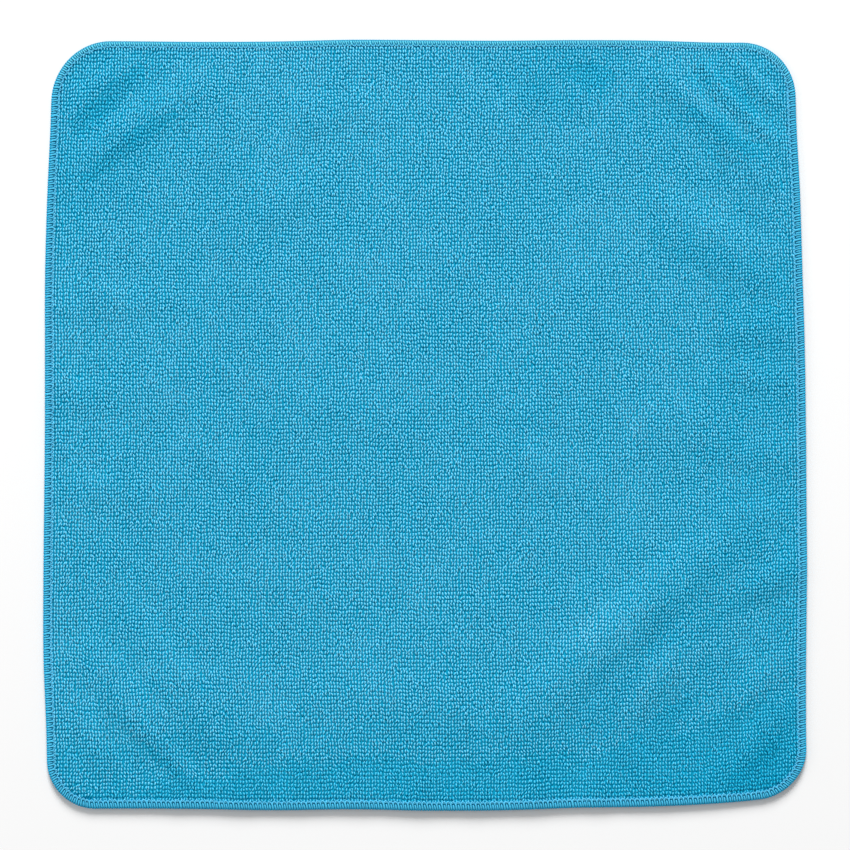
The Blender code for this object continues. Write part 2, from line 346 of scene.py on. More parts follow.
def blend(start, end, share):
    """The value at a share of the way from start to end."""
    return start + (end - start) * share


def smooth_table(rows, place, column):
    """A smooth curve through one column of a table whose rows are evenly spaced."""
    values = np.array([getattr(row, column) for row in rows], float)
    last = len(rows) - 1
    position = (place - rows[0].place) / (rows[1].place - rows[0].place)
    index = np.clip(np.floor(position).astype(int), 0, last - 1)
    share = np.clip(position - index, 0.0, 1.0)
    before, here, after, beyond = (
        values[np.clip(index + step, 0, last)] for step in (-1, 0, 1, 2)
    )
    slope_here = (after - before) / 2
    slope_after = (beyond - here) / 2
    rise = after - here
    cubic = slope_here + slope_after - 2 * rise
    square = 3 * rise - 2 * slope_here - slope_after
    return here + share * (slope_here + share * (square + share * cubic))


def lay(cut_x, cut_y):
    """Where places on the cut cloth come to lie, seen from above."""
    pull_left = -smooth_table(BOWS, cut_y, "left")
    pull_right = smooth_table(BOWS, cut_y, "right")
    pull_bottom = -smooth_table(BOWS, cut_x, "bottom")
    pull_top = smooth_table(BOWS, cut_x, "top")
    x = cut_x + blend(pull_left, pull_right, cut_x / CUT_SIZE + 0.5)
    y = cut_y + blend(pull_bottom, pull_top, cut_y / CUT_SIZE + 0.5)
    return x, y


strongest_bow = max(abs(number) for bow in BOWS for number in (bow.left, bow.right, bow.bottom, bow.top))
print("A side of the cloth bows by up to", strongest_bow, "mm")


# %% [markdown]
# A fold is a soft ridge from one place to another. It fades out at both ends and to both sides, and it
# may bend in the middle. The first table repeats the folds of the CAD model. The second adds the finer
# creases that show only in the light on the pile: narrow soft ridges and, with a negative height,
# troughs. Both were placed after the photograph.

# %% Folds and creases
Fold = namedtuple("Fold", "name from_x from_y to_x to_y bend half_width height")
FOLDS = (
    Fold("top left, at the corner", -190, 157, -150, 189, 2, 12, 0.7),
    Fold("top left, long", -192, 125, -106, 182, 3, 14, 1.0),
    Fold("top right, at the corner", 145, 190, 182, 152, 3, 11, 0.7),
    Fold("top right, long", 110, 193, 186, 113, 5, 13, 1.2),
    Fold("right, above the middle", 106, 117, 196, 74, -3, 18, 1.5),
    Fold("right ripple, upper", 150, 52, 198, 49, 0, 12, 0.9),
    Fold("right ripple, middle", 146, 28, 198, 20, 0, 11, 0.6),
    Fold("right ripple, lower", 152, -13, 200, -18, 0, 13, 1.0),
    Fold("right, broad", 96, 1, 162, -9, 2, 22, 0.9),
    Fold("bottom right, broad", 24, -182, 190, -36, 2, 46, 1.3),
    Fold("bottom right, main", 40, -166, 172, -50, 4, 18, 1.6),
    Fold("bottom right, inner", 108, -156, 145, -110, 2, 13, 1.0),
    Fold("bottom right, at the corner", 156, -152, 188, -122, 0, 12, 0.8),
    Fold("right, by the main fold", 160, -90, 200, -68, -2, 13, 1.1),
    Fold("bottom left, long", -166, -86, -106, -156, -4, 15, 1.0),
    Fold("bottom left, second", -182, -112, -130, -167, -3, 14, 1.0),
    Fold("bottom left, at the corner", -192, -140, -160, -184, -2, 12, 0.7),
    Fold("left ripple, upper", -200, 63, -134, 60, 2, 13, 0.8),
    Fold("left ripple, middle", -200, 16, -142, 14, -1, 12, 0.7),
    Fold("left ripple, lower", -200, -36, -138, -39, 1, 13, 0.8),
    Fold("bottom swell, left", -182, -140, -14, -158, -4, 34, 1.2),
    Fold("bottom swell, right", -70, -150, 86, -160, 3, 30, 1.1),
    Fold("top, left of the middle", -80, 160, -14, 163, 0, 15, 0.6),
    Fold("inside, upper left", -100, 113, -50, 118, 2, 17, 0.6),
    Fold("inside, middle", -74, 5, -32, 9, 0, 15, 0.5),
    Fold("inside, right of the middle", 40, -21, 88, -34, 1, 17, 0.6),
)
CREASES = (
    Fold("top left, along the long fold", -196, 118, -112, 176, 6, 10, 0.25),
    Fold("top left, trough below it", -194, 98, -108, 158, 5, 10, -0.35),
    Fold("top left, along the corner fold", -190, 152, -148, 194, 2, 9, 0.35),
    Fold("top left, trough between", -180, 140, -136, 186, 2, 6, -0.20),
    Fold("top right, less of the corner fold", 145, 190, 182, 152, 3, 11, -0.65),
    Fold("top right, sharp crease", 136, 198, 188, 144, -6, 7, 1.15),
    Fold("top right, at the very corner", 154, 199, 192, 160, -3, 7, 0.90),
    Fold("top right, beside the long fold", 104, 186, 172, 118, 4, 11, 0.50),
    Fold("top right, less of the long fold", 116, 196, 186, 124, 3, 9, -0.40),
    Fold("top right, short dent", 72, 124, 94, 100, -2, 9, -0.35),
    Fold("top, dent right of the middle", 66, 178, 116, 186, 0, 12, -0.30),
    Fold("right, less of the fold above the middle", 106, 114, 190, 78, -3, 14, -0.25),
    Fold("right, less of the fold at the edge", 150, 94, 199, 72, 0, 14, -0.50),
    Fold("right, ripple at the edge", 136, 46, 180, 44, 2, 8, 0.25),
    Fold("right, lower ripple at the edge", 148, 24, 190, 20, 1, 8, 0.20),
    Fold("right, short crease", 150, -14, 198, -24, 0, 9, 0.15),
    Fold("right, crease over the dark fold", 138, -46, 192, -50, 2, 10, 0.45),
    Fold("bottom right, upper end of the main fold", 116, -84, 170, -46, 3, 12, 0.20),
    Fold("bottom right, middle of the main fold", 70, -136, 116, -92, 3, 16, 0.10),
    Fold("bottom swell, less of its crest", -178, -140, 60, -156, -5, 20, -0.40),
    Fold("right, less of the upper ripple", 150, 52, 198, 49, 0, 12, -0.35),
    Fold("right, less of the lower ripple", 152, -13, 200, -18, 0, 13, -0.40),
    Fold("left, less of the upper ripple", -200, 63, -134, 60, 2, 13, -0.35),
    Fold("left, less of the lower ripple", -200, -36, -138, -39, 1, 13, -0.40),
    Fold("bottom right, along the inner fold", 96, -168, 142, -102, 2, 10, 0.50),
    Fold("bottom right, trough by the inner fold", 112, -178, 162, -122, 1, 8, -0.25),
    Fold("bottom right, short fold", 148, -96, 190, -80, 1, 9, 0.25),
    Fold("bottom right, along the corner fold", 148, -158, 192, -120, 2, 10, 0.35),
    Fold("bottom right, at the very corner", 150, -188, 196, -138, -2, 13, 0.90),
    Fold("bottom right, dip by the bottom side", 88, -160, 132, -196, 0, 11, 0.45),
    Fold("bottom left, sharp crease", -172, -136, -110, -195, -1, 8, 0.80),
    Fold("bottom left, trough below it", -176, -150, -130, -196, -1, 7, -0.30),
    Fold("bottom side, off the surface", -196, -206, 200, -204, 0, 28, 0.70),
    Fold("bottom left, inner crease", -148, -128, -108, -166, -2, 9, 0.40),
    Fold("left, crease from the edge", -197, 68, -60, 50, 2, 11, 0.22),
    Fold("left, crease above the middle", -197, 26, -120, 20, 2, 12, 0.20),
    Fold("left, lower crease", -197, -30, -150, -28, 0, 10, 0.15),
    Fold("left, inner dent", -130, -8, -92, -36, 1, 10, 0.30),
    Fold("upper middle, crease", -2, 60, 30, 96, 1, 10, 0.20),
    Fold("middle, crease", 44, -32, 84, 12, 1, 10, 0.30),
    Fold("middle, long soft crease", -60, -16, 40, 30, -3, 14, 0.22),
    Fold("inside, upper left dent", -92, 104, -52, 124, 1, 12, 0.30),
    Fold("inside, upper middle dent", -62, 142, -8, 152, 2, 12, -0.25),
)

# Short ripples across the bottom side, where the stitching draws the edge in.
RIPPLE_COUNT = 8
RIPPLE_FIRST_X = -128.0
RIPPLE_SPACING = 31.0
RIPPLE_LEAN = 5.0
RIPPLE_LEAN_TURN = 2.0
RIPPLE_FROM_Y = -203.0
RIPPLE_TO_Y = -166.0
RIPPLE_HALF_WIDTH = 12.0
RIPPLE_HEIGHT = 0.5


def bottom_ripples():
    """The row of short folds across the bottom side, each with a lean of its own."""
    for index in range(RIPPLE_COUNT):
        place = RIPPLE_FIRST_X + index * RIPPLE_SPACING
        lean = RIPPLE_LEAN * math.sin(index * RIPPLE_LEAN_TURN)
        yield Fold(
            name=f"bottom ripple {index + 1}",
            from_x=place,
            from_y=RIPPLE_FROM_Y,
            to_x=place + lean,
            to_y=RIPPLE_TO_Y,
            bend=0.0,
            half_width=RIPPLE_HALF_WIDTH,
            height=RIPPLE_HEIGHT,
        )


def fold_height(fold, x, y):
    """How high one fold lifts the cloth."""
    along_x = fold.to_x - fold.from_x
    along_y = fold.to_y - fold.from_y
    length = math.hypot(along_x, along_y)
    from_x = x - fold.from_x
    from_y = y - fold.from_y
    share = np.clip((from_x * along_x + from_y * along_y) / length**2, 0.0, 1.0)
    arch = 4 * share * (1 - share)
    aside = (along_x * from_y - along_y * from_x) / length - fold.bend * arch
    off_crest = np.minimum(np.abs(aside) / fold.half_width, 1.0)
    return fold.height * (1 - off_crest**2) ** 2 * arch


CAD_FOLDS = FOLDS + tuple(bottom_ripples())


def cad_lift(x, y):
    """The height of the CAD cloth's underside over the surface that it lies on."""
    return sum(fold_height(fold, x, y) for fold in CAD_FOLDS)


print("There are", len(CAD_FOLDS), "folds of the CAD model and", len(CREASES), "finer creases")


# %% [markdown]
# Before anything is built on these functions, we test them. Each point of the CAD panel, less the
# lift there, has to lie on one of the few heights that its section is made of. If a table had a
# wrong number, this test would show it.

# %% Compare the laying with the CAD panel
CAD_SECTION_HEIGHTS = (0.0, 0.25, 0.95, 1.85, 2.35, 2.6)


def points_of(piece):
    """A mesh's points as an array, in millimetres."""
    flat = np.empty(len(piece.data.vertices) * 3, np.float32)
    piece.data.vertices.foreach_get("co", flat)
    return flat.reshape(-1, 3).astype(float) / MM


panel_points = points_of(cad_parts["terry_panel"])
over_lift = panel_points[:, 2] - cad_lift(panel_points[:, 0], panel_points[:, 1])
off_section = np.min(np.abs(over_lift[:, None] - np.array(CAD_SECTION_HEIGHTS)), axis=1)
print("The laying misses the CAD panel by at most", round(float(off_section.max()), 4), "mm")

# %% [markdown]
# Real cloth is never quite smooth. A soft random field adds unevenness: random heights on a coarse
# grid, blended smoothly between the grid's points. A noise texture on a Displace modifier could do
# this too, but then the loops and threads couldn't ask how high the cloth is under them. Each use has
# its own lump size and its own seed, so that the result is the same in every run.

# %% Soft random unevenness
def unevenness(x, y, lump, seed):
    """A smooth random field from -1 to 1 with lumps of about the given size."""
    reach = HALF_CUT + 2 * lump
    count = int(2 * reach / lump) + 3
    field = np.random.default_rng(seed).uniform(-1.0, 1.0, (count, count))
    place_x = (np.asarray(x, float) + reach) / lump
    place_y = (np.asarray(y, float) + reach) / lump
    column = np.clip(np.floor(place_x).astype(int), 0, count - 2)
    row = np.clip(np.floor(place_y).astype(int), 0, count - 2)
    share_x = np.clip(place_x - column, 0.0, 1.0)
    share_y = np.clip(place_y - row, 0.0, 1.0)
    share_x = share_x**2 * (3 - 2 * share_x)
    share_y = share_y**2 * (3 - 2 * share_y)
    low = blend(field[column, row], field[column + 1, row], share_x)
    high = blend(field[column, row + 1], field[column + 1, row + 1], share_x)
    return blend(low, high, share_y)


Lump = namedtuple("Lump", "size height seed")
CLOTH_LUMPS = (
    Lump(size=34.0, height=0.14, seed=11),
    Lump(size=15.0, height=0.045, seed=12),
)


def lift(x, y):
    """The height of the cloth's underside: the folds, the creases and a little unevenness."""
    height = cad_lift(x, y)
    height = height + sum(fold_height(crease, x, y) for crease in CREASES)
    for lump in CLOTH_LUMPS:
        height = height + lump.height * (1 + unevenness(x, y, lump.size, lump.seed))
    return np.maximum(height, 0.0)


middle_lift = lift(np.zeros(1), np.zeros(1))[0]
print("In the middle the cloth lies", round(float(middle_lift), 2), "mm off the surface")

# %% [markdown]
# Next come two questions that every piece asks: how far is a place from the cloth's outline, and how
# wide is the sewn band there? The band looks a little narrower along the top side, where the edge
# rolls away from us. So the first function also says how much the nearest edge faces the top.

# %% Distance from the outline, and the band's width
BAND_WIDTH = 4.2
BAND_NARROWER_AT_TOP = 1.1


def inside_outline(cut_x, cut_y):
    """How far inside the outline a place lies, and how much the nearest edge faces the top."""
    inset = np.zeros_like(cut_x)
    faces_up = np.zeros_like(cut_x)
    for corner in CORNERS.values():
        here = (cut_x * corner.side_x >= 0) & (cut_y * corner.side_y >= 0)
        over_x = cut_x[here] * corner.side_x - (HALF_CUT - corner.radius)
        over_y = cut_y[here] * corner.side_y - (HALF_CUT - corner.radius)
        round_x = np.maximum(over_x, 0.0)
        round_y = np.maximum(over_y, 0.0)
        reach = np.hypot(round_x, round_y)
        depth = reach + np.minimum(np.maximum(over_x, over_y), 0.0)
        inset[here] = corner.radius - depth
        slant = np.where(reach > 0, round_y / np.maximum(reach, 1e-9), over_y > over_x)
        faces_up[here] = np.maximum(slant * corner.side_y, 0.0)
    return inset, faces_up


def past_band(cut_x, cut_y):
    """How far a place lies inside the sewn band's inner line."""
    inset, faces_up = inside_outline(cut_x, cut_y)
    return inset - (BAND_WIDTH - BAND_NARROWER_AT_TOP * faces_up**2)


narrowest_band = round(BAND_WIDTH - BAND_NARROWER_AT_TOP, 1)
print("The sewn band is", narrowest_band, "mm wide at the top and", BAND_WIDTH, "mm elsewhere")

# %% [markdown]
# ## The ground knit
#
# Terry is knitted in one go: a flat ground, with loops that stand out of it. The ground is the sheet
# itself. We could extrude its outline, but then the folds would need cutting in. A grid primitive is
# better, because it has points to lift everywhere. Its lines are set closer together near the edge,
# where the stitching squeezes the sheet thin, and its square corners are rounded. It reaches a little
# past the cut line, so that the surface below doesn't show between two threads.

# %% A grid with round corners
GROUND_CELLS = 110
RIM_CELLS = 6
RIM_REACH = 9.0
GROUND_PAST_CUT = 0.3


def respaced(share):
    """From even grid shares, -1 to 1, to places whose lines are closer near the edge."""
    line = np.abs(share) * GROUND_CELLS / 2
    inner_lines = GROUND_CELLS / 2 - RIM_CELLS
    half = HALF_CUT + GROUND_PAST_CUT
    place = np.interp(line, (0, inner_lines, GROUND_CELLS / 2), (0, half - RIM_REACH, half))
    return np.sign(share) * place


def round_corners(cut_x, cut_y):
    """Pushes the points of each square corner into its rounded one."""
    cut_x, cut_y = cut_x.copy(), cut_y.copy()
    for corner in CORNERS.values():
        centre = HALF_CUT - corner.radius
        radius = corner.radius + GROUND_PAST_CUT
        over_x = (cut_x * corner.side_x - centre) / radius
        over_y = (cut_y * corner.side_y - centre) / radius
        here = (over_x > 0) & (over_y > 0)
        shrink = np.maximum(over_x, over_y)[here] / np.hypot(over_x, over_y)[here]
        cut_x[here] = corner.side_x * (centre + radius * over_x[here] * shrink)
        cut_y[here] = corner.side_y * (centre + radius * over_y[here] * shrink)
    return cut_x, cut_y


bpy.ops.mesh.primitive_grid_add(
    x_subdivisions=GROUND_CELLS, y_subdivisions=GROUND_CELLS, size=CUT_SIZE * MM
)
ground = bpy.context.object
ground.name = "ground_knit"
grid_points = points_of(ground)
ground_cut_x, ground_cut_y = round_corners(
    respaced(grid_points[:, 0] / HALF_CUT), respaced(grid_points[:, 1] / HALF_CUT)
)
print("The ground has", len(grid_points), "points on each face")

# %% [markdown]
# Now the grid is laid on the folds as the middle of the sheet. Solidify gives it its thickness to
# both sides, and a vertex group makes it thinner where it is squeezed. The rows below say how high
# the ground's face and its underside are, from the raw edge inwards: squeezed and held off the
# surface under the band, full and resting on it a few millimetres inside.

# %% Lay the ground and give it its thickness
GROUND_THICKNESS = 1.95
GROUND_ROWS_PAST_BAND = (-4.0, -2.8, -0.8, 0.2, 1.4, 2.8)
GROUND_FACE = (1.5, 1.85, 1.85, 1.70, 1.88, GROUND_THICKNESS)
GROUND_UNDERSIDE = (1.0, 0.8, 0.75, 0.75, 0.25, 0.0)


def ground_face(past):
    """The ground's upper face over its underside's lift."""
    return np.interp(past, GROUND_ROWS_PAST_BAND, GROUND_FACE)


def move_points(piece, points):
    """Gives a mesh new places for its points, in millimetres."""
    piece.data.vertices.foreach_set("co", (points * MM).astype(np.float32).ravel())
    piece.data.update()


ground_past = past_band(ground_cut_x, ground_cut_y)
upper = ground_face(ground_past)
under = np.interp(ground_past, GROUND_ROWS_PAST_BAND, GROUND_UNDERSIDE)
ground_x, ground_y = lay(ground_cut_x, ground_cut_y)
ground_lift = lift(ground_x, ground_y)
move_points(ground, np.stack([ground_x, ground_y, ground_lift + (upper + under) / 2], axis=1))

thickness = ground.vertex_groups.new(name="thickness")
for index, share in enumerate((upper - under) / GROUND_THICKNESS):
    thickness.add([index], float(share), "REPLACE")
solidify = ground.modifiers.new("thickness", "SOLIDIFY")
solidify.thickness = GROUND_THICKNESS * MM
solidify.offset = 0.0
solidify.vertex_group = thickness.name
bpy.ops.object.modifier_apply(modifier=solidify.name)
ground.data.shade_smooth()
ground_points = points_of(ground)
print("The highest place of the ground is at", round(ground_points[:, 2].max(), 2), "mm")

# %% [markdown]
# The ground's underside lies on the surface. The plain back of the knit is so flat that its loops can
# be relief in the material, and the mesh only has to say which side is which. It carries that as a
# number at each point, and a second one says how near the sewn band is, where little light gets in.
# For the export we also unwrap it by hand: the upper side gets a narrow part of the map, because the
# pile hides it, and the underside gets the rest.

# %% Which side is which, and the map
UPPER_SHARE_OF_MAP = 0.2
BAND_SHADE_FADES = (-0.5, 1.2)


def add_numbers(piece, name, numbers):
    """Stores a number at each point of a mesh."""
    attribute = piece.data.attributes.new(name, "FLOAT", "POINT")
    attribute.data.foreach_set("value", np.asarray(numbers, np.float32).ravel())


def add_map(piece, name, coordinates):
    """Stores a UV map, given two coordinates for each corner of each face."""
    layer = piece.data.uv_layers.new(name=name)
    layer.data.foreach_set("uv", np.asarray(coordinates, np.float32).ravel())


def corners_of(piece):
    """The point that each corner of each face sits on."""
    corners = np.empty(len(piece.data.loops), np.int32)
    piece.data.loops.foreach_get("vertex_index", corners)
    return corners


middle = np.concatenate([ground_lift + (upper + under) / 2] * 2)
is_under = (ground_points[:, 2] < middle).astype(float)
print(int(is_under.sum()), "of the ground's", len(is_under), "points are on its underside")
add_numbers(ground, "underside", is_under)
add_numbers(ground, "painted_band_shade", np.interp(np.tile(ground_past, 2), BAND_SHADE_FADES, (1.0, 0.0)))
corners = corners_of(ground)
across = (ground_points[corners, 0] + HALF_CUT) / CUT_SIZE
upwards = (ground_points[corners, 1] + HALF_CUT) / CUT_SIZE
corner_is_under = is_under[corners]
across = np.where(
    corner_is_under > 0,
    blend(UPPER_SHARE_OF_MAP, 1.0, across),
    across * UPPER_SHARE_OF_MAP,
)
add_map(ground, "OFBake", np.stack([across, upwards], axis=1))

# %% [markdown]
# ## The pile
#
# On the face of the cloth each loop shows as a small pearl, longer than it is wide. They stand in
# straight columns, called wales, 1.58 mm apart. Along a column they follow every 1.92 mm. That makes
# about fifty thousand, so one pearl may have only a dozen faces. We model it once, from a six-sided
# cone with a cut-off tip, and merge the tip's six points into the two ends of a short ridge. It is
# one unit wide, long and high, so that each copy can be given its own size.

# %% Model one loop
LOOP_SIDES = 6
RIDGE_SHARE = 0.94
HALF_UNIT = 0.5


def select_points(piece, wanted):
    """Selects the points of a mesh, in edit mode, for which a test on their place holds."""
    bpy.ops.mesh.select_all(action="DESELECT")
    bpy.ops.object.mode_set(mode="OBJECT")
    for point in piece.data.vertices:
        point.select = wanted(point.co)
    bpy.ops.object.mode_set(mode="EDIT")


bpy.ops.object.select_all(action="DESELECT")
bpy.ops.mesh.primitive_cone_add(
    vertices=LOOP_SIDES,
    radius1=HALF_UNIT,
    radius2=HALF_UNIT * RIDGE_SHARE,
    depth=1.0,
    location=(0, 0, HALF_UNIT),
)
loop = bpy.context.object
bpy.ops.object.transform_apply(location=True, rotation=True, scale=True)
bpy.ops.object.mode_set(mode="EDIT")
bpy.ops.mesh.select_mode(type="VERT")
select_points(loop, lambda place: place.z > HALF_UNIT and place.y > 0)
bpy.ops.mesh.merge(type="CENTER")
select_points(loop, lambda place: place.z > HALF_UNIT and place.y < 0)
bpy.ops.mesh.merge(type="CENTER")
bpy.ops.mesh.select_all(action="SELECT")
bpy.ops.mesh.quads_convert_to_tris()
bpy.ops.mesh.normals_make_consistent(inside=False)
bpy.ops.object.mode_set(mode="OBJECT")

loop_points = points_of(loop) * MM
loop_faces = corners_of(loop).reshape(-1, 3)
loop_share_up = loop_points[:, 2]
loop_is_base = np.all(loop_share_up[loop_faces] < HALF_UNIT, axis=1)
bpy.data.objects.remove(loop)
print("One loop has", len(loop_points), "points and", len(loop_faces), "faces")

# %% [markdown]
# Now the loops get their places on the cut cloth, in the knit's columns and rows. The rows are drawn
# a little closer together towards the top. A Geometry Nodes grid could spread the loops too, but
# plain arrays let us leave out those that would stand under the sewn band: a loop stays only if both
# of its ends are clear of it.

# %% Where each loop stands
COLUMN_SPACING = 1.58
ROW_SPACING = 1.92
ROWS_CLOSER_AT_TOP = 0.015
LOOP_END = 0.42
FIRST_LOOP_PAST_BAND = -0.45

columns = int(CUT_SIZE / COLUMN_SPACING)
rows = int(CUT_SIZE * (1 + 2 * ROWS_CLOSER_AT_TOP) / ROW_SPACING)
column_x = (np.arange(columns) - (columns - 1) / 2) * COLUMN_SPACING
row_y = (np.arange(rows) - (rows - 1) / 2) * ROW_SPACING
row_y = row_y - ROWS_CLOSER_AT_TOP * row_y**2 / HALF_CUT
loop_cut_x, loop_cut_y = (grid.ravel() for grid in np.meshgrid(column_x, row_y))
nearest_end = np.minimum(
    past_band(loop_cut_x, loop_cut_y - LOOP_END), past_band(loop_cut_x, loop_cut_y + LOOP_END)
)
standing = nearest_end > FIRST_LOOP_PAST_BAND
loop_cut_x = loop_cut_x[standing]
loop_cut_y = loop_cut_y[standing]
loop_past = past_band(loop_cut_x, loop_cut_y)
loop_count = len(loop_cut_x)
print(loop_count, "loops in", columns, "columns")

# %% [markdown]
# No two loops are alike. Neighbours share some of their unevenness, as real loops do where the cloth
# was rubbed, and the rest is chance. So there are two kinds of random number for each loop: one is
# drawn for it alone, and one is read from a soft field whose patches are as large as the table says.

# %% Two kinds of chance
LOOP_SEED = 21
Patches = namedtuple("Patches", "size seed")
PATCHES = {
    "pressed": Patches(size=6.5, seed=31),
    "wander across": Patches(size=24.0, seed=32),
    "wander along": Patches(size=20.0, seed=33),
    "wobble across": Patches(size=7.0, seed=45),
    "wobble along": Patches(size=6.0, seed=46),
    "turn": Patches(size=7.0, seed=34),
    "lean across": Patches(size=8.0, seed=35),
    "lean along": Patches(size=8.0, seed=36),
    "tone": Patches(size=9.0, seed=37),
    "painted_groove_shade": Patches(size=8.0, seed=47),
    "deeper, wide": Patches(size=22.0, seed=48),
}

chance = np.random.default_rng(LOOP_SEED)


def by_chance(spread):
    """A bell-shaped random number for each loop."""
    return chance.normal(0.0, spread, loop_count)


def in_patches(trait):
    """A soft random field, read at each loop."""
    patches = PATCHES[trait]
    return unevenness(loop_cut_x, loop_cut_y, patches.size, patches.seed)


print("The loops share", len(PATCHES), "kinds of patches")

# %% [markdown]
# First, how far is each loop off its place? The knit as a whole wanders, groups of loops wobble, and
# each loop stands a little wrong. Whole columns also slip against each other along their length, and
# rows a little less, which breaks up the rows but keeps the columns, as in the photograph. By the
# sewn band the stitches hold the knit steadier. After its place each loop gets a turn, a lean and a
# size.

# %% Place, turn, lean and size
LOOP_WIDTH = 1.64
LOOP_LENGTH = 2.95
SIZE_SPREAD = 0.05
OFF_PLACE_ACROSS = 0.12
OFF_PLACE_ALONG = 0.14
WANDER = 0.30
WOBBLE = 0.27
ROW_SLIP = 0.10
ROW_SLIP_SEED = 38
COLUMN_SLIP = 0.50
COLUMN_SLIP_SEED = 39
SLIP_RUN = 9.0
STEADY_BY_BAND = 0.6
STEADY_REACH = 5.0
TURN_BY_CHANCE = math.radians(12)
TURN_IN_PATCHES = math.radians(10)
LEAN = 0.09

off_across = by_chance(OFF_PLACE_ACROSS) + WANDER * in_patches("wander across")
off_along = by_chance(OFF_PLACE_ALONG) + WANDER * in_patches("wander along")
off_across += WOBBLE * in_patches("wobble across")
off_along += WOBBLE * in_patches("wobble along")
off_across += ROW_SLIP * unevenness(
    loop_cut_x / SLIP_RUN, loop_cut_y, ROW_SPACING, ROW_SLIP_SEED
)
off_along += COLUMN_SLIP * unevenness(
    loop_cut_x, loop_cut_y / SLIP_RUN, COLUMN_SPACING, COLUMN_SLIP_SEED
)
steady = np.interp(loop_past, (0.0, STEADY_REACH), (STEADY_BY_BAND, 1.0))
off_across = off_across * steady
off_along = off_along * steady
turn = by_chance(TURN_BY_CHANCE) + TURN_IN_PATCHES * in_patches("turn")
lean_across = by_chance(LEAN) + LEAN * in_patches("lean across")
lean_along = by_chance(LEAN) + LEAN * in_patches("lean along")
wide = LOOP_WIDTH * (1 + by_chance(SIZE_SPREAD))
long = LOOP_LENGTH * (1 + by_chance(SIZE_SPREAD))
print("The loops are off their places by up to", round(float(np.abs(off_along).max()), 2), "mm")

# %% [markdown]
# Next, how light is each loop? Split yarn takes the dye unevenly, so the tone differs at random. The
# tone also carries painted light and shade of the folds: painted shade towards the bottom side, the
# right side and the corners, painted shade below and beside some creases, and painted light along their
# crests and on one fold. Paint on the mesh could do this, but short tables say it more clearly: a
# painted patch is a soft oval, and a painted crease line is written like a fold, with its tone for its
# height. In some patches the painted shade in the grooves between the loops is also stronger.

# %% Tone, painted patches and painted crease lines
TONE_BY_CHANCE = 0.12
TONE_IN_PATCHES = 0.17
PAINTED_GROOVE_SHADE_IN_PATCHES = 0.52

# Painted shade patches, and one painted lit patch, where the folds and sides turn from the lamp or
# towards it.
PaintedPatch = namedtuple("PaintedPatch", "name x y reach_x reach_y tone")
PAINTED_LIGHT_AND_SHADE_PATCHES = (
    PaintedPatch("bottom side", x=20.0, y=-214.0, reach_x=420.0, reach_y=74.0, tone=-2.1),
    PaintedPatch("bottom right corner", x=190.0, y=-185.0, reach_x=110.0, reach_y=90.0, tone=-1.45),
    PaintedPatch("right side", x=205.0, y=-10.0, reach_x=80.0, reach_y=190.0, tone=-0.7),
    PaintedPatch("bottom right fold", x=90.0, y=-106.0, reach_x=30.0, reach_y=24.0, tone=0.9),
    PaintedPatch("top left corner", x=-175.0, y=165.0, reach_x=70.0, reach_y=70.0, tone=-0.75),
    PaintedPatch("top right corner", x=170.0, y=165.0, reach_x=70.0, reach_y=60.0, tone=-0.55),
    PaintedPatch("top, towards the right", x=80.0, y=182.0, reach_x=60.0, reach_y=30.0, tone=-0.6),
)

# Painted light along crease crests, and painted shade below and beside them.
PAINTED_CREASE_LIGHT_AND_SHADE = (
    Fold("top right, sharp crease", 128, 194, 158, 160, -2, 5, 1.2),
    Fold("top right, lower end of the crease", 150, 176, 188, 144, -2, 4, 0.8),
    Fold("top right, at the very corner", 160, 198, 192, 168, 2, 4, 0.8),
    Fold("top right, dark corner", 150, 192, 184, 158, 1, 5, -1.0),
    Fold("top right, dark below the sharp crease", 132, 172, 190, 134, -1, 7, -1.2),
    Fold("top, dark dent", 66, 186, 112, 176, 0, 14, -0.8),
    Fold("top left, dark along the long fold", -196, 112, -116, 172, 4, 7, -1.3),
    Fold("top left, dark at the corner", -188, 148, -144, 192, 2, 8, -1.2),
    Fold("top left, second dark blob", -196, 150, -160, 172, 2, 8, -0.7),
    Fold("right, dark below the fold", 112, 102, 196, 70, -4, 16, -0.4),
    Fold("bottom left, dark line", -168, -148, -122, -190, -1, 4, -0.8),
    Fold("bottom left, second dark line", -178, -90, -120, -156, -3, 6, -0.3),
    Fold("bottom right, light crest", 60, -136, 116, -84, 3, 12, 0.35),
    Fold("bottom right, dark below it", 72, -162, 188, -62, 3, 20, -0.9),
    Fold("bottom right, second light crest", 104, -156, 136, -108, 1, 8, 1.0),
    Fold("bottom right, dark beyond it", 92, -186, 156, -130, 1, 9, -0.8),
    Fold("bottom right, dark corner", 160, -194, 197, -152, -4, 9, -0.7),
)

# Random dye tone, plus the painted light and shade of the patches and crease lines.
tone = by_chance(TONE_BY_CHANCE) + TONE_IN_PATCHES * in_patches("tone")
for line in PAINTED_CREASE_LIGHT_AND_SHADE:
    tone = tone + fold_height(line, loop_cut_x, loop_cut_y)
for painted_patch in PAINTED_LIGHT_AND_SHADE_PATCHES:
    off = np.hypot((loop_cut_x - painted_patch.x) / painted_patch.reach_x, (loop_cut_y - painted_patch.y) / painted_patch.reach_y)
    tone = tone + painted_patch.tone * np.clip(1 - off**2, 0.0, 1.0) ** 2
# How much stronger the painted shade in the grooves is, in patches.
painted_groove_shade = PAINTED_GROOVE_SHADE_IN_PATCHES * (in_patches("painted_groove_shade") + in_patches("deeper, wide"))
print("The tones run from", round(float(tone.min()), 2), "to", round(float(tone.max()), 2))

# %% [markdown]
# Last, how high is each loop? They are nearly even, as the knitting machine makes them. Some patches
# are pressed a little, and the first rows inside the sewn band are lower, because its stitches pull
# them down. Then the one loop is copied: turned, sized, leant and lifted on to the folds. Every point
# of a loop is lifted by the cloth's height right under it, so that loops on a slope lean with it.

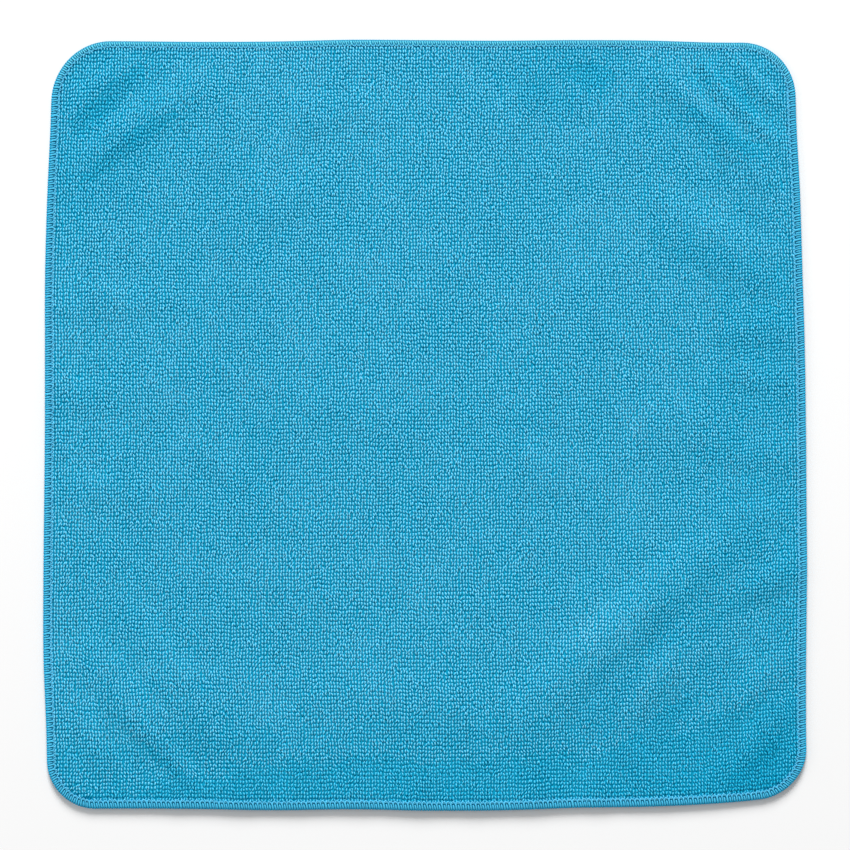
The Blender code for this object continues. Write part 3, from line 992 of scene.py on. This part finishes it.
# %% Copy the loop to all places
LOOP_ROOT = 0.12
HEIGHT_SPREAD = 0.04
PRESSED_IN_PATCHES = 0.06
PRESSED_UP_TO = 0.3
LOOP_ROWS_PAST_BAND = (-0.8, 0.2, 1.0, 2.6)
LOOP_TOP = (2.3, 2.5, 2.6, PILE_HEIGHT)
LOWEST_TOP = 1.9
HIGHEST_TOP = 2.95

loop_top = np.interp(loop_past, LOOP_ROWS_PAST_BAND, LOOP_TOP) + by_chance(HEIGHT_SPREAD)
loop_top += PRESSED_IN_PATCHES * np.minimum(in_patches("pressed"), PRESSED_UP_TO)
loop_top = np.clip(loop_top, LOWEST_TOP, HIGHEST_TOP)
loop_base = ground_face(loop_past) - LOOP_ROOT
local_x = loop_points[None, :, 0] * wide[:, None] + loop_share_up * lean_across[:, None]
local_y = loop_points[None, :, 1] * long[:, None] + loop_share_up * lean_along[:, None]
laid_x, laid_y = lay(loop_cut_x + off_across, loop_cut_y + off_along)
x = laid_x[:, None] + local_x * np.cos(turn)[:, None] - local_y * np.sin(turn)[:, None]
y = laid_y[:, None] + local_x * np.sin(turn)[:, None] + local_y * np.cos(turn)[:, None]
z = lift(x, y) + blend(loop_base[:, None], loop_top[:, None], loop_share_up[None, :])
all_loop_points = np.stack([x, y, z], axis=2)

# %% [markdown]
# Fifty thousand copies as separate objects would be slow, and joining them one by one slower still.
# So two helpers write many copies into one mesh: the first makes a piece from arrays, and the second
# numbers the faces of all copies, each with points of its own.

# %% Many copies in one mesh
def new_piece(name, points, faces):
    """A mesh object from points in millimetres and faces with equally many corners."""
    mesh = bpy.data.meshes.new(name)
    mesh.vertices.add(len(points))
    mesh.vertices.foreach_set("co", (points * MM).astype(np.float32).ravel())
    mesh.loops.add(faces.size)
    mesh.loops.foreach_set("vertex_index", faces.astype(np.int32).ravel())
    mesh.polygons.add(len(faces))
    first_corners = np.arange(len(faces), dtype=np.int32) * faces.shape[1]
    mesh.polygons.foreach_set("loop_start", first_corners)
    mesh.update(calc_edges=True)
    mesh.shade_smooth()
    piece = bpy.data.objects.new(name, mesh)
    bpy.context.scene.collection.objects.link(piece)
    return piece


def copied_faces(faces, copies, points_a_copy):
    """The faces of all copies, each copy with points of its own."""
    shift = np.arange(copies)[:, None, None] * points_a_copy
    return (faces[None] + shift).reshape(-1, faces.shape[1])


# %% [markdown]
# All loops in one mesh would be heavy to handle, so the pile is four pieces: bands across the cloth,
# from the bottom to the top. Each point knows how high it is on its loop, and each loop knows its tone,
# with its painted light and shade, and how strong the painted shade in its grooves is, so that the
# material can vary the loops. One map has a place of its own for each loop's strands, and another says
# where on its loop a place is.

# %% Four pieces of pile
PILE_BANDS = ("pile_bottom", "pile_lower_middle", "pile_upper_middle", "pile_top")
BASE_STRIP = 0.02
BASE_STRIP_GAP = 0.01


def seen_from_above(corner_places, is_base):
    """The export's map: the loops as seen from above, with their hidden bases in a strip below."""
    low = corner_places.min(axis=0)
    span = corner_places.max(axis=0) - low
    seen = (corner_places - low) / span
    strip = seen[:, 1] * BASE_STRIP
    rest = blend(BASE_STRIP + BASE_STRIP_GAP, 1.0, seen[:, 1])
    seen[:, 1] = np.where(is_base, strip, rest)
    return seen


pile = []
order = np.argsort(loop_cut_y, kind="stable")
for name, members in zip(PILE_BANDS, np.array_split(order, len(PILE_BANDS))):
    points = all_loop_points[members].reshape(-1, 3)
    faces = copied_faces(loop_faces, len(members), len(loop_points))
    piece = new_piece(name, points, faces)
    add_numbers(piece, "rise", np.tile(loop_share_up, len(members)))
    add_numbers(piece, "tone", np.repeat(tone[members], len(loop_points)))
    add_numbers(piece, "painted_groove_shade", np.repeat(painted_groove_shade[members], len(loop_points)))
    flat_loop = np.tile(loop_points[loop_faces.ravel(), :2], (len(members), 1))
    own_shift = np.repeat(tone[members], loop_faces.size)[:, None]
    add_map(piece, "strand", flat_loop + own_shift)
    add_map(piece, "place_on_loop", np.stack([np.abs(flat_loop[:, 0]), flat_loop[:, 1]], axis=1))
    is_base = np.repeat(np.tile(loop_is_base, len(members)), loop_faces.shape[1])
    add_map(piece, "OFBake", seen_from_above(points[faces.ravel(), :2], is_base))
    pile.append(piece)
    print(name, "has", len(members), "loops and", len(faces), "faces")

# %% [markdown]
# The yarn is split polyester, dyed bright blue, and quite matt. Light that enters between the loops
# meets blue yarn many times, so in the grooves it comes back deep blue without grey, but one colour with
# real shadows would give grey grooves. So the colour itself carries painted light and shade: it follows
# the height on the loop, in two steps, from a painted deep shade to side, and from side to a painted
# highlight at the tip. The painted lit spot sits towards the lamp: it starts early at the upper end of a
# loop and late at the lower one, and painted shade also darkens the flanks. A mottle makes each spot
# ragged, and fine stripes along the loop stand for its filaments.

# %% The pile's finish
# Painted shade for the grooves, the side colour, and a painted highlight for the tips.
PILE_GROOVE_PAINTED_SHADE = (0.002, 0.340, 0.560, 1.0)
PILE_SIDE = (0.016, 0.495, 0.740, 1.0)
PILE_TIP_PAINTED_HIGHLIGHT = (0.235, 0.650, 0.860, 1.0)
UPPER_END_FROM = 0.33
LOWER_END_FROM = 0.03
UPPER_END_DARKENING = 2.0
LOWER_END_DARKENING = 2.0
FLANK_FROM = 0.20
FLANK_DARKENING = 1.0
SIDE_AT = 0.44
TONE_STRENGTH = 0.12
MOTTLE_SPREAD = 1.5
MOTTLE_STRENGTH = 1.7
FILAMENTS_ACROSS = 9.0
FILAMENTS_ALONG = 2.0
STRAND_NOISE_SCALE = 2.2
FILAMENT_RELIEF = 0.06

pile_finish = Finish("looped microfibre")
strand_x, strand_y = pile_finish.uv("strand")
rise = pile_finish.attribute("rise")
pile_tone = pile_finish.attribute("tone")
mottle_place = pile_finish.vector(strand_x * MOTTLE_SPREAD, strand_y * MOTTLE_SPREAD, 0.0)
mottle = pile_finish.noise(mottle_place, STRAND_NOISE_SCALE)
filament_place = pile_finish.vector(strand_x * FILAMENTS_ACROSS, strand_y * FILAMENTS_ALONG, 0.0)
filaments = pile_finish.noise(filament_place, STRAND_NOISE_SCALE)
aside, upwards = pile_finish.uv("place_on_loop")
# Painted shade at both ends and the flanks of each loop, leaving a painted lit spot towards the lamp.
painted_shade_upper_end = (upwards - UPPER_END_FROM).within(0.0, 1.0) * UPPER_END_DARKENING
painted_shade_lower_end = (-LOWER_END_FROM - upwards).within(0.0, 1.0) * LOWER_END_DARKENING
painted_shade_flank = (aside - FLANK_FROM).within(0.0, 1.0) * FLANK_DARKENING
painted_groove_shade_here = pile_finish.attribute("painted_groove_shade") + 1.0
painted_shade_on_loop = (painted_shade_upper_end + painted_shade_lower_end + painted_shade_flank) * painted_groove_shade_here
height = rise - painted_shade_on_loop + pile_tone * TONE_STRENGTH + (mottle - 0.5) * MOTTLE_STRENGTH
lower_part = pile_finish.blend((height / SIDE_AT).within(0.0, 1.0), PILE_GROOVE_PAINTED_SHADE, PILE_SIDE)
above_side = ((height - SIDE_AT) / (1.0 - SIDE_AT)).within(0.0, 1.0)
pile_colour = pile_finish.blend(above_side, lower_part, PILE_TIP_PAINTED_HIGHLIGHT)
pile_finish.set(Base_Color=pile_colour, Roughness=0.85, Specular_IOR_Level=0.03)
pile_finish.bump(filaments, FILAMENT_RELIEF)
for piece in pile:
    piece.data.materials.append(pile_finish.material)
print("The pile's finish has", len(pile_finish.tree.nodes), "nodes")

# %% [markdown]
# Of the ground's face only specks show, deep between the loops, and a dark line where the pile ends and
# the sewn band begins. So it gets a plain deep blue as painted shade, which turns to a darker painted
# shade by the band. The back is the plain side of the knit. There each column and each row of it is a
# wave, and their product gives rows of small flat loops, with painted shade between them. A slow noise
# makes the waves wander, and a very fine one gives the fibres.

# %% The ground's finish
# Painted shade: a deep blue for the ground's face between the loops, darker under the band, and dark
# between the back's loops.
GROUND_FACE_PAINTED_SHADE = (0.002, 0.330, 0.530, 1.0)
GROUND_UNDER_BAND_PAINTED_SHADE = (0.003, 0.270, 0.460, 1.0)
BACK_PAINTED_SHADE = (0.006, 0.150, 0.280, 1.0)
BACK_TIP = (0.060, 0.460, 0.700, 1.0)
WHOLE_TURN = 2 * math.pi
BACK_WANDER = 3.0
BACK_WANDER_SCALE = 140.0
BACK_LOOP_ROUNDNESS = 0.7
BACK_LOOP_SHARE = 0.9
BACK_FIBRE_SHARE = 0.25
FIBRE_SCALE = 5200.0
FIBRE_DETAIL = 3.0
FIBRE_RELIEF_SHARE = 0.15
BACK_RELIEF = 0.6

ground_finish = Finish("ground knit")
place = ground_finish.place_on_object()
place_x, place_y = ground_finish.across_and_up(place)
wander = (ground_finish.noise(place, BACK_WANDER_SCALE) - 0.5) * BACK_WANDER
columns_wave = (place_x * (WHOLE_TURN / (COLUMN_SPACING * MM)) + wander).sine() * 0.5 + 0.5
rows_wave = (place_y * (WHOLE_TURN / (ROW_SPACING * MM)) + wander).sine() * 0.5 + 0.5
back_loops = (columns_wave * rows_wave).power(BACK_LOOP_ROUNDNESS)
fibres = ground_finish.noise(place, FIBRE_SCALE, FIBRE_DETAIL)
back_shade = (back_loops * BACK_LOOP_SHARE + fibres * BACK_FIBRE_SHARE).within(0.0, 1.0)
back_colour = ground_finish.blend(back_shade, BACK_PAINTED_SHADE, BACK_TIP)
on_back = ground_finish.attribute("underside")
painted_band_shade = ground_finish.attribute("painted_band_shade")
face_colour = ground_finish.blend(painted_band_shade, GROUND_FACE_PAINTED_SHADE, GROUND_UNDER_BAND_PAINTED_SHADE)
ground_colour = ground_finish.blend(on_back, face_colour, back_colour)
ground_finish.set(Base_Color=ground_colour, Roughness=0.95, Specular_IOR_Level=0.1)
ground_finish.bump(back_loops * on_back + fibres * FIBRE_RELIEF_SHARE, BACK_RELIEF)
ground.data.materials.append(ground_finish.material)
print("The ground's finish has", len(ground_finish.tree.nodes), "nodes")

# %% [markdown]
# ## The overlock stitch
#
# An overlock machine cuts the edge and sews over it in one go. Its upper looper thread lies on the
# face. It runs from the raw edge inwards, turns in a small arch round the needle's line, and runs
# back out, some 600 times round the cloth. The lower looper does the same on the underside, half a
# stitch later. It is drawn over the edge, so that its turns show as small hooks inside the arches.
# The needle thread runs through the turns and holds them down.
#
# A stitch is the same to the left and to the right of its middle, so its table holds the left half
# alone. In a row, `along` counts in stitches. The rest is in millimetres: how far inside the raw
# edge the thread's middle is, how high over the cloth's underside, and the thread's radius there.

# %% The three stitches
STITCH_PITCH = 2.55

StitchPoint = namedtuple("StitchPoint", "along inset height radius")


def both_halves(left_half, *middle):
    """A whole stitch from its left half: the right half is its mirror image."""
    right_half = [row._replace(along=-row.along) for row in reversed(left_half)]
    return [*left_half, *middle, *right_half]


UPPER_STITCH = both_halves((
    StitchPoint(along=-0.50, inset=-0.22, height=1.25, radius=0.36),
    StitchPoint(along=-0.44, inset=-0.10, height=1.84, radius=0.32),
    StitchPoint(along=-0.45, inset=1.40, height=2.28, radius=0.29),
    StitchPoint(along=-0.42, inset=2.95, height=2.34, radius=0.25),
    StitchPoint(along=-0.19, inset=4.00, height=2.26, radius=0.25),
))
LOWER_STITCH = both_halves((
    StitchPoint(along=-0.50, inset=2.60, height=2.04, radius=0.20),
    StitchPoint(along=-0.43, inset=2.00, height=2.12, radius=0.22),
    StitchPoint(along=-0.43, inset=-0.06, height=1.80, radius=0.31),
    StitchPoint(along=-0.42, inset=-0.06, height=0.70, radius=0.36),
    StitchPoint(along=-0.38, inset=2.90, height=0.40, radius=0.36),
), StitchPoint(along=0.0, inset=4.00, height=0.36, radius=0.34))
NEEDLE_STITCH = both_halves((
    StitchPoint(along=-0.50, inset=3.65, height=1.95, radius=0.20),
    StitchPoint(along=-0.22, inset=3.45, height=2.15, radius=0.22),
))
print("The stitches are", STITCH_PITCH, "mm apart")

# %% [markdown]
# A thread could be a curve all round the cloth, but it would need thousands of points set by hand. We
# model one stitch on a straight edge instead. It starts as a Bezier curve, gets one point for each
# row of its table, and a round section whose thickness follows the points. At both ends the curve
# runs straight along the edge, so that it meets the next copy. Then it is turned into a mesh.

# %% Model one stitch
THREAD_SIDES_SETTING = 1
STEPS_A_SEGMENT = 2
END_HANDLE = STITCH_PITCH / 12
StitchMesh = namedtuple("StitchMesh", "points faces ring around rings sides")


def model_stitch(table):
    """One stitch on a straight edge: X runs along the edge, Y inwards and Z up, in millimetres."""
    bpy.ops.object.select_all(action="DESELECT")
    bpy.ops.curve.primitive_bezier_curve_add(location=(0.0, 0.0, 0.0))
    stitch = bpy.context.object
    curve = stitch.data
    curve.twist_mode = "Z_UP"
    curve.bevel_depth = MM
    curve.bevel_resolution = THREAD_SIDES_SETTING
    curve.resolution_u = STEPS_A_SEGMENT
    spline = curve.splines[0]
    spline.resolution_u = STEPS_A_SEGMENT
    spline.bezier_points.add(len(table) - len(spline.bezier_points))
    for point, row in zip(spline.bezier_points, table):
        point.co = Vector((row.along * STITCH_PITCH, row.inset, row.height)) * MM
        point.radius = row.radius
        point.handle_left_type = "AUTO"
        point.handle_right_type = "AUTO"
    end_handle = Vector((END_HANDLE, 0.0, 0.0)) * MM
    for point in (spline.bezier_points[0], spline.bezier_points[-1]):
        point.handle_left_type = "FREE"
        point.handle_right_type = "FREE"
        point.handle_left = point.co - end_handle
        point.handle_right = point.co + end_handle
    bpy.ops.object.convert(target="MESH")
    stitch = bpy.context.object
    points = points_of(stitch)
    rings = (len(table) - 1) * STEPS_A_SEGMENT + 1
    sides = len(points) // rings
    faces = corners_of(stitch).reshape(-1, 4)
    bpy.data.objects.remove(stitch)
    order = np.arange(len(points))
    return StitchMesh(points, faces, order // sides, order % sides, rings, sides)


upper_stitch = model_stitch(UPPER_STITCH)
lower_stitch = model_stitch(LOWER_STITCH)
needle_stitch = model_stitch(NEEDLE_STITCH)
print("An upper stitch has", upper_stitch.rings, "rings of", upper_stitch.sides, "points")

# %% [markdown]
# The outline is four straight sides and four round corners. We describe it as eight stretches in a
# row, so that a distance along the edge and an inset give one place on the cut cloth.

# %% Along the outline
Stretch = namedtuple("Stretch", "length x y radius facing")
ROUND_THE_CLOTH = (
    ("bottom left", "bottom right", -90.0),
    ("bottom right", "top right", 0.0),
    ("top right", "top left", 90.0),
    ("top left", "bottom left", 180.0),
)


def outline_stretches():
    """Each side and the corner after it, anticlockwise from the left end of the bottom side."""
    for start, end, facing in ROUND_THE_CLOTH:
        first, second = CORNERS[start], CORNERS[end]
        angle = math.radians(facing)
        out_x, out_y = math.cos(angle), math.sin(angle)
        first_x = first.side_x * (HALF_CUT - first.radius)
        first_y = first.side_y * (HALF_CUT - first.radius)
        yield Stretch(
            length=CUT_SIZE - first.radius - second.radius,
            x=first_x + out_x * first.radius,
            y=first_y + out_y * first.radius,
            radius=0.0,
            facing=angle,
        )
        yield Stretch(
            length=second.radius * math.pi / 2,
            x=second.side_x * (HALF_CUT - second.radius),
            y=second.side_y * (HALF_CUT - second.radius),
            radius=second.radius,
            facing=angle,
        )


STRETCHES = tuple(outline_stretches())
OUTLINE_LENGTH = sum(stretch.length for stretch in STRETCHES)
STITCH_COUNT = round(OUTLINE_LENGTH / STITCH_PITCH)
print("The outline is", round(OUTLINE_LENGTH), "mm long and has", STITCH_COUNT, "stitches")


# %% [markdown]
# Two more helpers for sewing. The first finds a place from the distance along the outline. The second
# makes the stitches uneven. They are placed by counting: stitch 12.4 is two fifths of the way from
# the twelfth to the thirteenth. All unevenness is a smooth function of that count, so neighbouring
# stitches always join.

# %% A place on the edge, and how uneven the stitches are
def edge_place(distance, inset):
    """A place on the cut cloth from a distance along the outline and an inset in the band."""
    distance = distance % OUTLINE_LENGTH
    cut_x = np.zeros_like(distance)
    cut_y = np.zeros_like(distance)
    begin = 0.0
    for stretch in STRETCHES:
        here = (distance >= begin) & (distance <= begin + stretch.length)
        run = distance[here] - begin
        angle = stretch.facing + (run / stretch.radius if stretch.radius else 0.0 * run)
        out_x, out_y = np.cos(angle), np.sin(angle)
        narrower = BAND_NARROWER_AT_TOP * np.maximum(out_y, 0.0) ** 2
        depth = inset[here] * (1 - narrower / BAND_WIDTH)
        straight_run = 0.0 if stretch.radius else run
        cut_x[here] = stretch.x + out_x * (stretch.radius - depth) - out_y * straight_run
        cut_y[here] = stretch.y + out_y * (stretch.radius - depth) + out_x * straight_run
        begin += stretch.length
    return cut_x, cut_y


def stitch_unevenness(count, seed):
    """A smooth random number, -1 to 1, along the row of stitches."""
    values = np.random.default_rng(seed).uniform(-1.0, 1.0, STITCH_COUNT)
    index = np.floor(count).astype(int)
    share = count - index
    share = share**2 * (3 - 2 * share)
    return blend(values[index % STITCH_COUNT], values[(index + 1) % STITCH_COUNT], share)


first_x, first_y = edge_place(np.zeros(1), np.zeros(1))
print("The stitching starts at", round(float(first_x[0]), 1), round(float(first_y[0]), 1), "mm")

# %% [markdown]
# A thread also needs its maps. One gives the place along a stitch and round its strand, for the
# twisted filaments. The other is for the export: each stitch is unrolled into a cell of its own, in
# rows of 25. Where a face closes the strand's round, its corners would jump from the last side back
# to the first, so there the first counts as one past the last.

# %% The maps of a thread
MAP_CELLS = 25
MAP_MARGIN = 0.06


def add_thread_maps(piece, stitch):
    """The maps of a sewn thread: round its strand, and one cell for each stitch."""
    around = stitch.around[stitch.faces]
    over_the_seam = np.ptp(around, axis=1) > 1
    around = np.where(over_the_seam[:, None] & (around == 0), stitch.sides, around)
    ring = stitch.ring[stitch.faces]
    along_share = np.tile(ring.ravel() / (stitch.rings - 1), STITCH_COUNT)
    around_share = np.tile(around.ravel() / stitch.sides, STITCH_COUNT)
    add_map(piece, "strand", np.stack([along_share, around_share], axis=1))
    number = np.repeat(np.arange(STITCH_COUNT), stitch.faces.size)
    map_x = number % MAP_CELLS + blend(MAP_MARGIN, 1 - MAP_MARGIN, along_share)
    map_y = number // MAP_CELLS + blend(MAP_MARGIN, 1 - MAP_MARGIN, around_share)
    add_map(piece, "OFBake", np.stack([map_x, map_y], axis=1) / MAP_CELLS)


# %% [markdown]
# Now we sew. Every copy's points get a count along the row of stitches, and the count gives their
# place on the edge, with the legs leaning a little, because the cloth moves on while the looper
# swings. The arches stay over the needle's line. The copies only touch each other at their ends, so
# the doubled rings there are merged, which closes the thread all the way round.

# %% Sew the stitches on
LEG_LEAN = 0.30
LEAN_SPREAD = 0.12
LEAN_SEED = 41
PITCH_SPREAD = 0.10
PITCH_SEED = 42
ARCH_SPREAD = 0.055
ARCH_SEED = 43
THREAD_HEIGHT_SPREAD = 0.05
THREAD_HEIGHT_SEED = 44
MERGE_DISTANCE = 0.002


def join_copies(piece):
    """Merges the doubled points between copies and turns all faces outwards."""
    bpy.ops.object.select_all(action="DESELECT")
    bpy.context.view_layer.objects.active = piece
    piece.select_set(True)
    bpy.ops.object.mode_set(mode="EDIT")
    bpy.ops.mesh.select_all(action="SELECT")
    bpy.ops.mesh.remove_doubles(threshold=MERGE_DISTANCE * MM)
    bpy.ops.mesh.normals_make_consistent(inside=False)
    bpy.ops.object.mode_set(mode="OBJECT")


def sew(name, stitch, shift=0.0):
    """A thread that is sewn all the way round the cloth, as one closed piece."""
    count = np.arange(STITCH_COUNT)[:, None] + stitch.points[None, :, 0] / STITCH_PITCH + shift
    inset = np.broadcast_to(stitch.points[:, 1], count.shape)
    height = np.broadcast_to(stitch.points[:, 2], count.shape)
    inwards = inset / BAND_WIDTH
    lean = (LEG_LEAN + LEAN_SPREAD * stitch_unevenness(count, LEAN_SEED)) * (1 - inwards)
    place = count + lean + PITCH_SPREAD * stitch_unevenness(count, PITCH_SEED)
    inset = inset * (1 + ARCH_SPREAD * stitch_unevenness(count, ARCH_SEED) * inwards)
    height = height + THREAD_HEIGHT_SPREAD * stitch_unevenness(count, THREAD_HEIGHT_SEED)
    cut_x, cut_y = edge_place((place * OUTLINE_LENGTH / STITCH_COUNT).ravel(), inset.ravel())
    x, y = lay(cut_x, cut_y)
    points = np.stack([x, y, np.maximum(lift(x, y) + height.ravel(), 0.0)], axis=1)
    faces = copied_faces(stitch.faces, STITCH_COUNT, len(stitch.points))
    piece = new_piece(name, points, faces)
    add_numbers(piece, "inwards", inwards)
    add_numbers(piece, "faces_up", inside_outline(cut_x, cut_y)[1])
    add_thread_maps(piece, stitch)
    join_copies(piece)
    print(name, "has", len(piece.data.polygons), "faces")
    return piece


upper_looper = sew("upper_looper_thread", upper_stitch)
lower_looper = sew("lower_looper_thread", lower_stitch, shift=0.5)
needle = sew("needle_thread", needle_stitch)
threads = [upper_looper, lower_looper, needle]

# %% [markdown]
# The sewing thread is textured polyester in a slightly lighter blue than the cloth. Its filaments
# twist round it, so the finish runs slanted stripes round the strand, with a soft noise over them.
# The colour also follows the stitch inwards: painted shade at the raw edge, where the thread turns out
# of the light, and lightest on the legs and the arch. At the top side the lamp shines straight on the
# edge, which would look too bright, so the thread's colour at the edge gets a deeper painted shade where
# it faces the top, and its legs along the top side a lighter painted light.

# %% The thread's finish
# Painted shade at the raw edge, deeper still at the top edge, and painted light on the legs along the
# top side.
THREAD_AT_EDGE_PAINTED_SHADE = (0.020, 0.460, 0.760, 1.0)
THREAD_AT_TOP_EDGE_PAINTED_SHADE = (0.012, 0.190, 0.310, 1.0)
THREAD_ALONG_LEG = (0.085, 0.560, 0.830, 1.0)
THREAD_ALONG_TOP_LEG_PAINTED_LIGHT = (0.130, 0.640, 0.840, 1.0)
THREAD_AT_ARCH = (0.120, 0.570, 0.860, 1.0)
LEG_FROM = 0.22
ARCH_FROM = 0.66
STITCH_TURNS = 9.0
FLUFF_SCALE = 2600.0
FLUFF_DETAIL = 3.0
TWIST_IN_COLOUR = 0.35
FLUFF_IN_COLOUR = 0.5
MIDDLE_OF_BOTH = 0.42
FIBRES_IN_COLOUR = 0.35
TWIST_IN_RELIEF = 0.7
FLUFF_IN_RELIEF = 0.5
THREAD_RELIEF = 0.06

thread_finish = Finish("overlock thread")
strand_along, strand_around = thread_finish.uv("strand")
twist = ((strand_along * STITCH_TURNS + strand_around) * WHOLE_TURN).sine() * 0.5 + 0.5
fluff = thread_finish.noise(thread_finish.place_on_object(), FLUFF_SCALE, FLUFF_DETAIL)
fibre_shade = twist * TWIST_IN_COLOUR + fluff * FLUFF_IN_COLOUR - MIDDLE_OF_BOTH
inwards = thread_finish.attribute("inwards") + fibre_shade * FIBRES_IN_COLOUR
leg_share = (inwards / LEG_FROM).within(0.0, 1.0)
arch_share = ((inwards - ARCH_FROM) / (1.0 - ARCH_FROM)).within(0.0, 1.0)
faces_up = thread_finish.attribute("faces_up")
edge_colour = thread_finish.blend(faces_up, THREAD_AT_EDGE_PAINTED_SHADE, THREAD_AT_TOP_EDGE_PAINTED_SHADE)
along_colour = thread_finish.blend(faces_up, THREAD_ALONG_LEG, THREAD_ALONG_TOP_LEG_PAINTED_LIGHT)
leg_colour = thread_finish.blend(leg_share, edge_colour, along_colour)
thread_colour = thread_finish.blend(arch_share, leg_colour, THREAD_AT_ARCH)
thread_finish.set(Base_Color=thread_colour, Roughness=0.80, Specular_IOR_Level=0.04)
thread_finish.bump(twist * TWIST_IN_RELIEF + fluff * FLUFF_IN_RELIEF, THREAD_RELIEF)
for piece in threads:
    piece.data.materials.append(thread_finish.material)
print("The thread's finish has", len(thread_finish.tree.nodes), "nodes")

# %% [markdown]
# ## Joining the frame
#
# Last, each piece, the ground, the pile and the threads, is made to ride on the CAD model's one body.
# The ground stands for the terry panel and the upper looper thread for the edging, so those two solids
# are hidden. The ground's cut area, as a sheet of cloth, is worked out and printed.

# %% Ride, hide and work out the cut area
cut_off_corners = sum((1 - math.pi / 4) * corner.radius**2 for corner in CORNERS.values())
cut_area = CUT_SIZE**2 - cut_off_corners
for piece in [ground, *pile]:
    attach(piece, "root")
for piece in threads:
    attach(piece, "root")
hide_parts("terry_panel")
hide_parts("overlock_edging")
cut_area * MM**2
print("The cloth is cut with an area of", round(cut_area), "square mm")

# %% [markdown]
# At the end we print the box of the dressed cloth, to set beside that of the CAD model. The two may
# differ by the threads' thickness, and by little more. We also count the triangles, because a piece
# with more than 200,000 would be thinned when it is exported.

# %% Print the box and count the triangles
visual_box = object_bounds()
visual_size = [round((high - low) / MM, 1) for low, high in zip(*visual_box)]
print("The dressed cloth measures", visual_size, "mm")
triangles = [
    sum(len(face.vertices) - 2 for face in piece.data.polygons)
    for piece in [ground, *pile, *threads]
]
print("The pieces have up to", max(triangles), "and together", sum(triangles), "triangles")
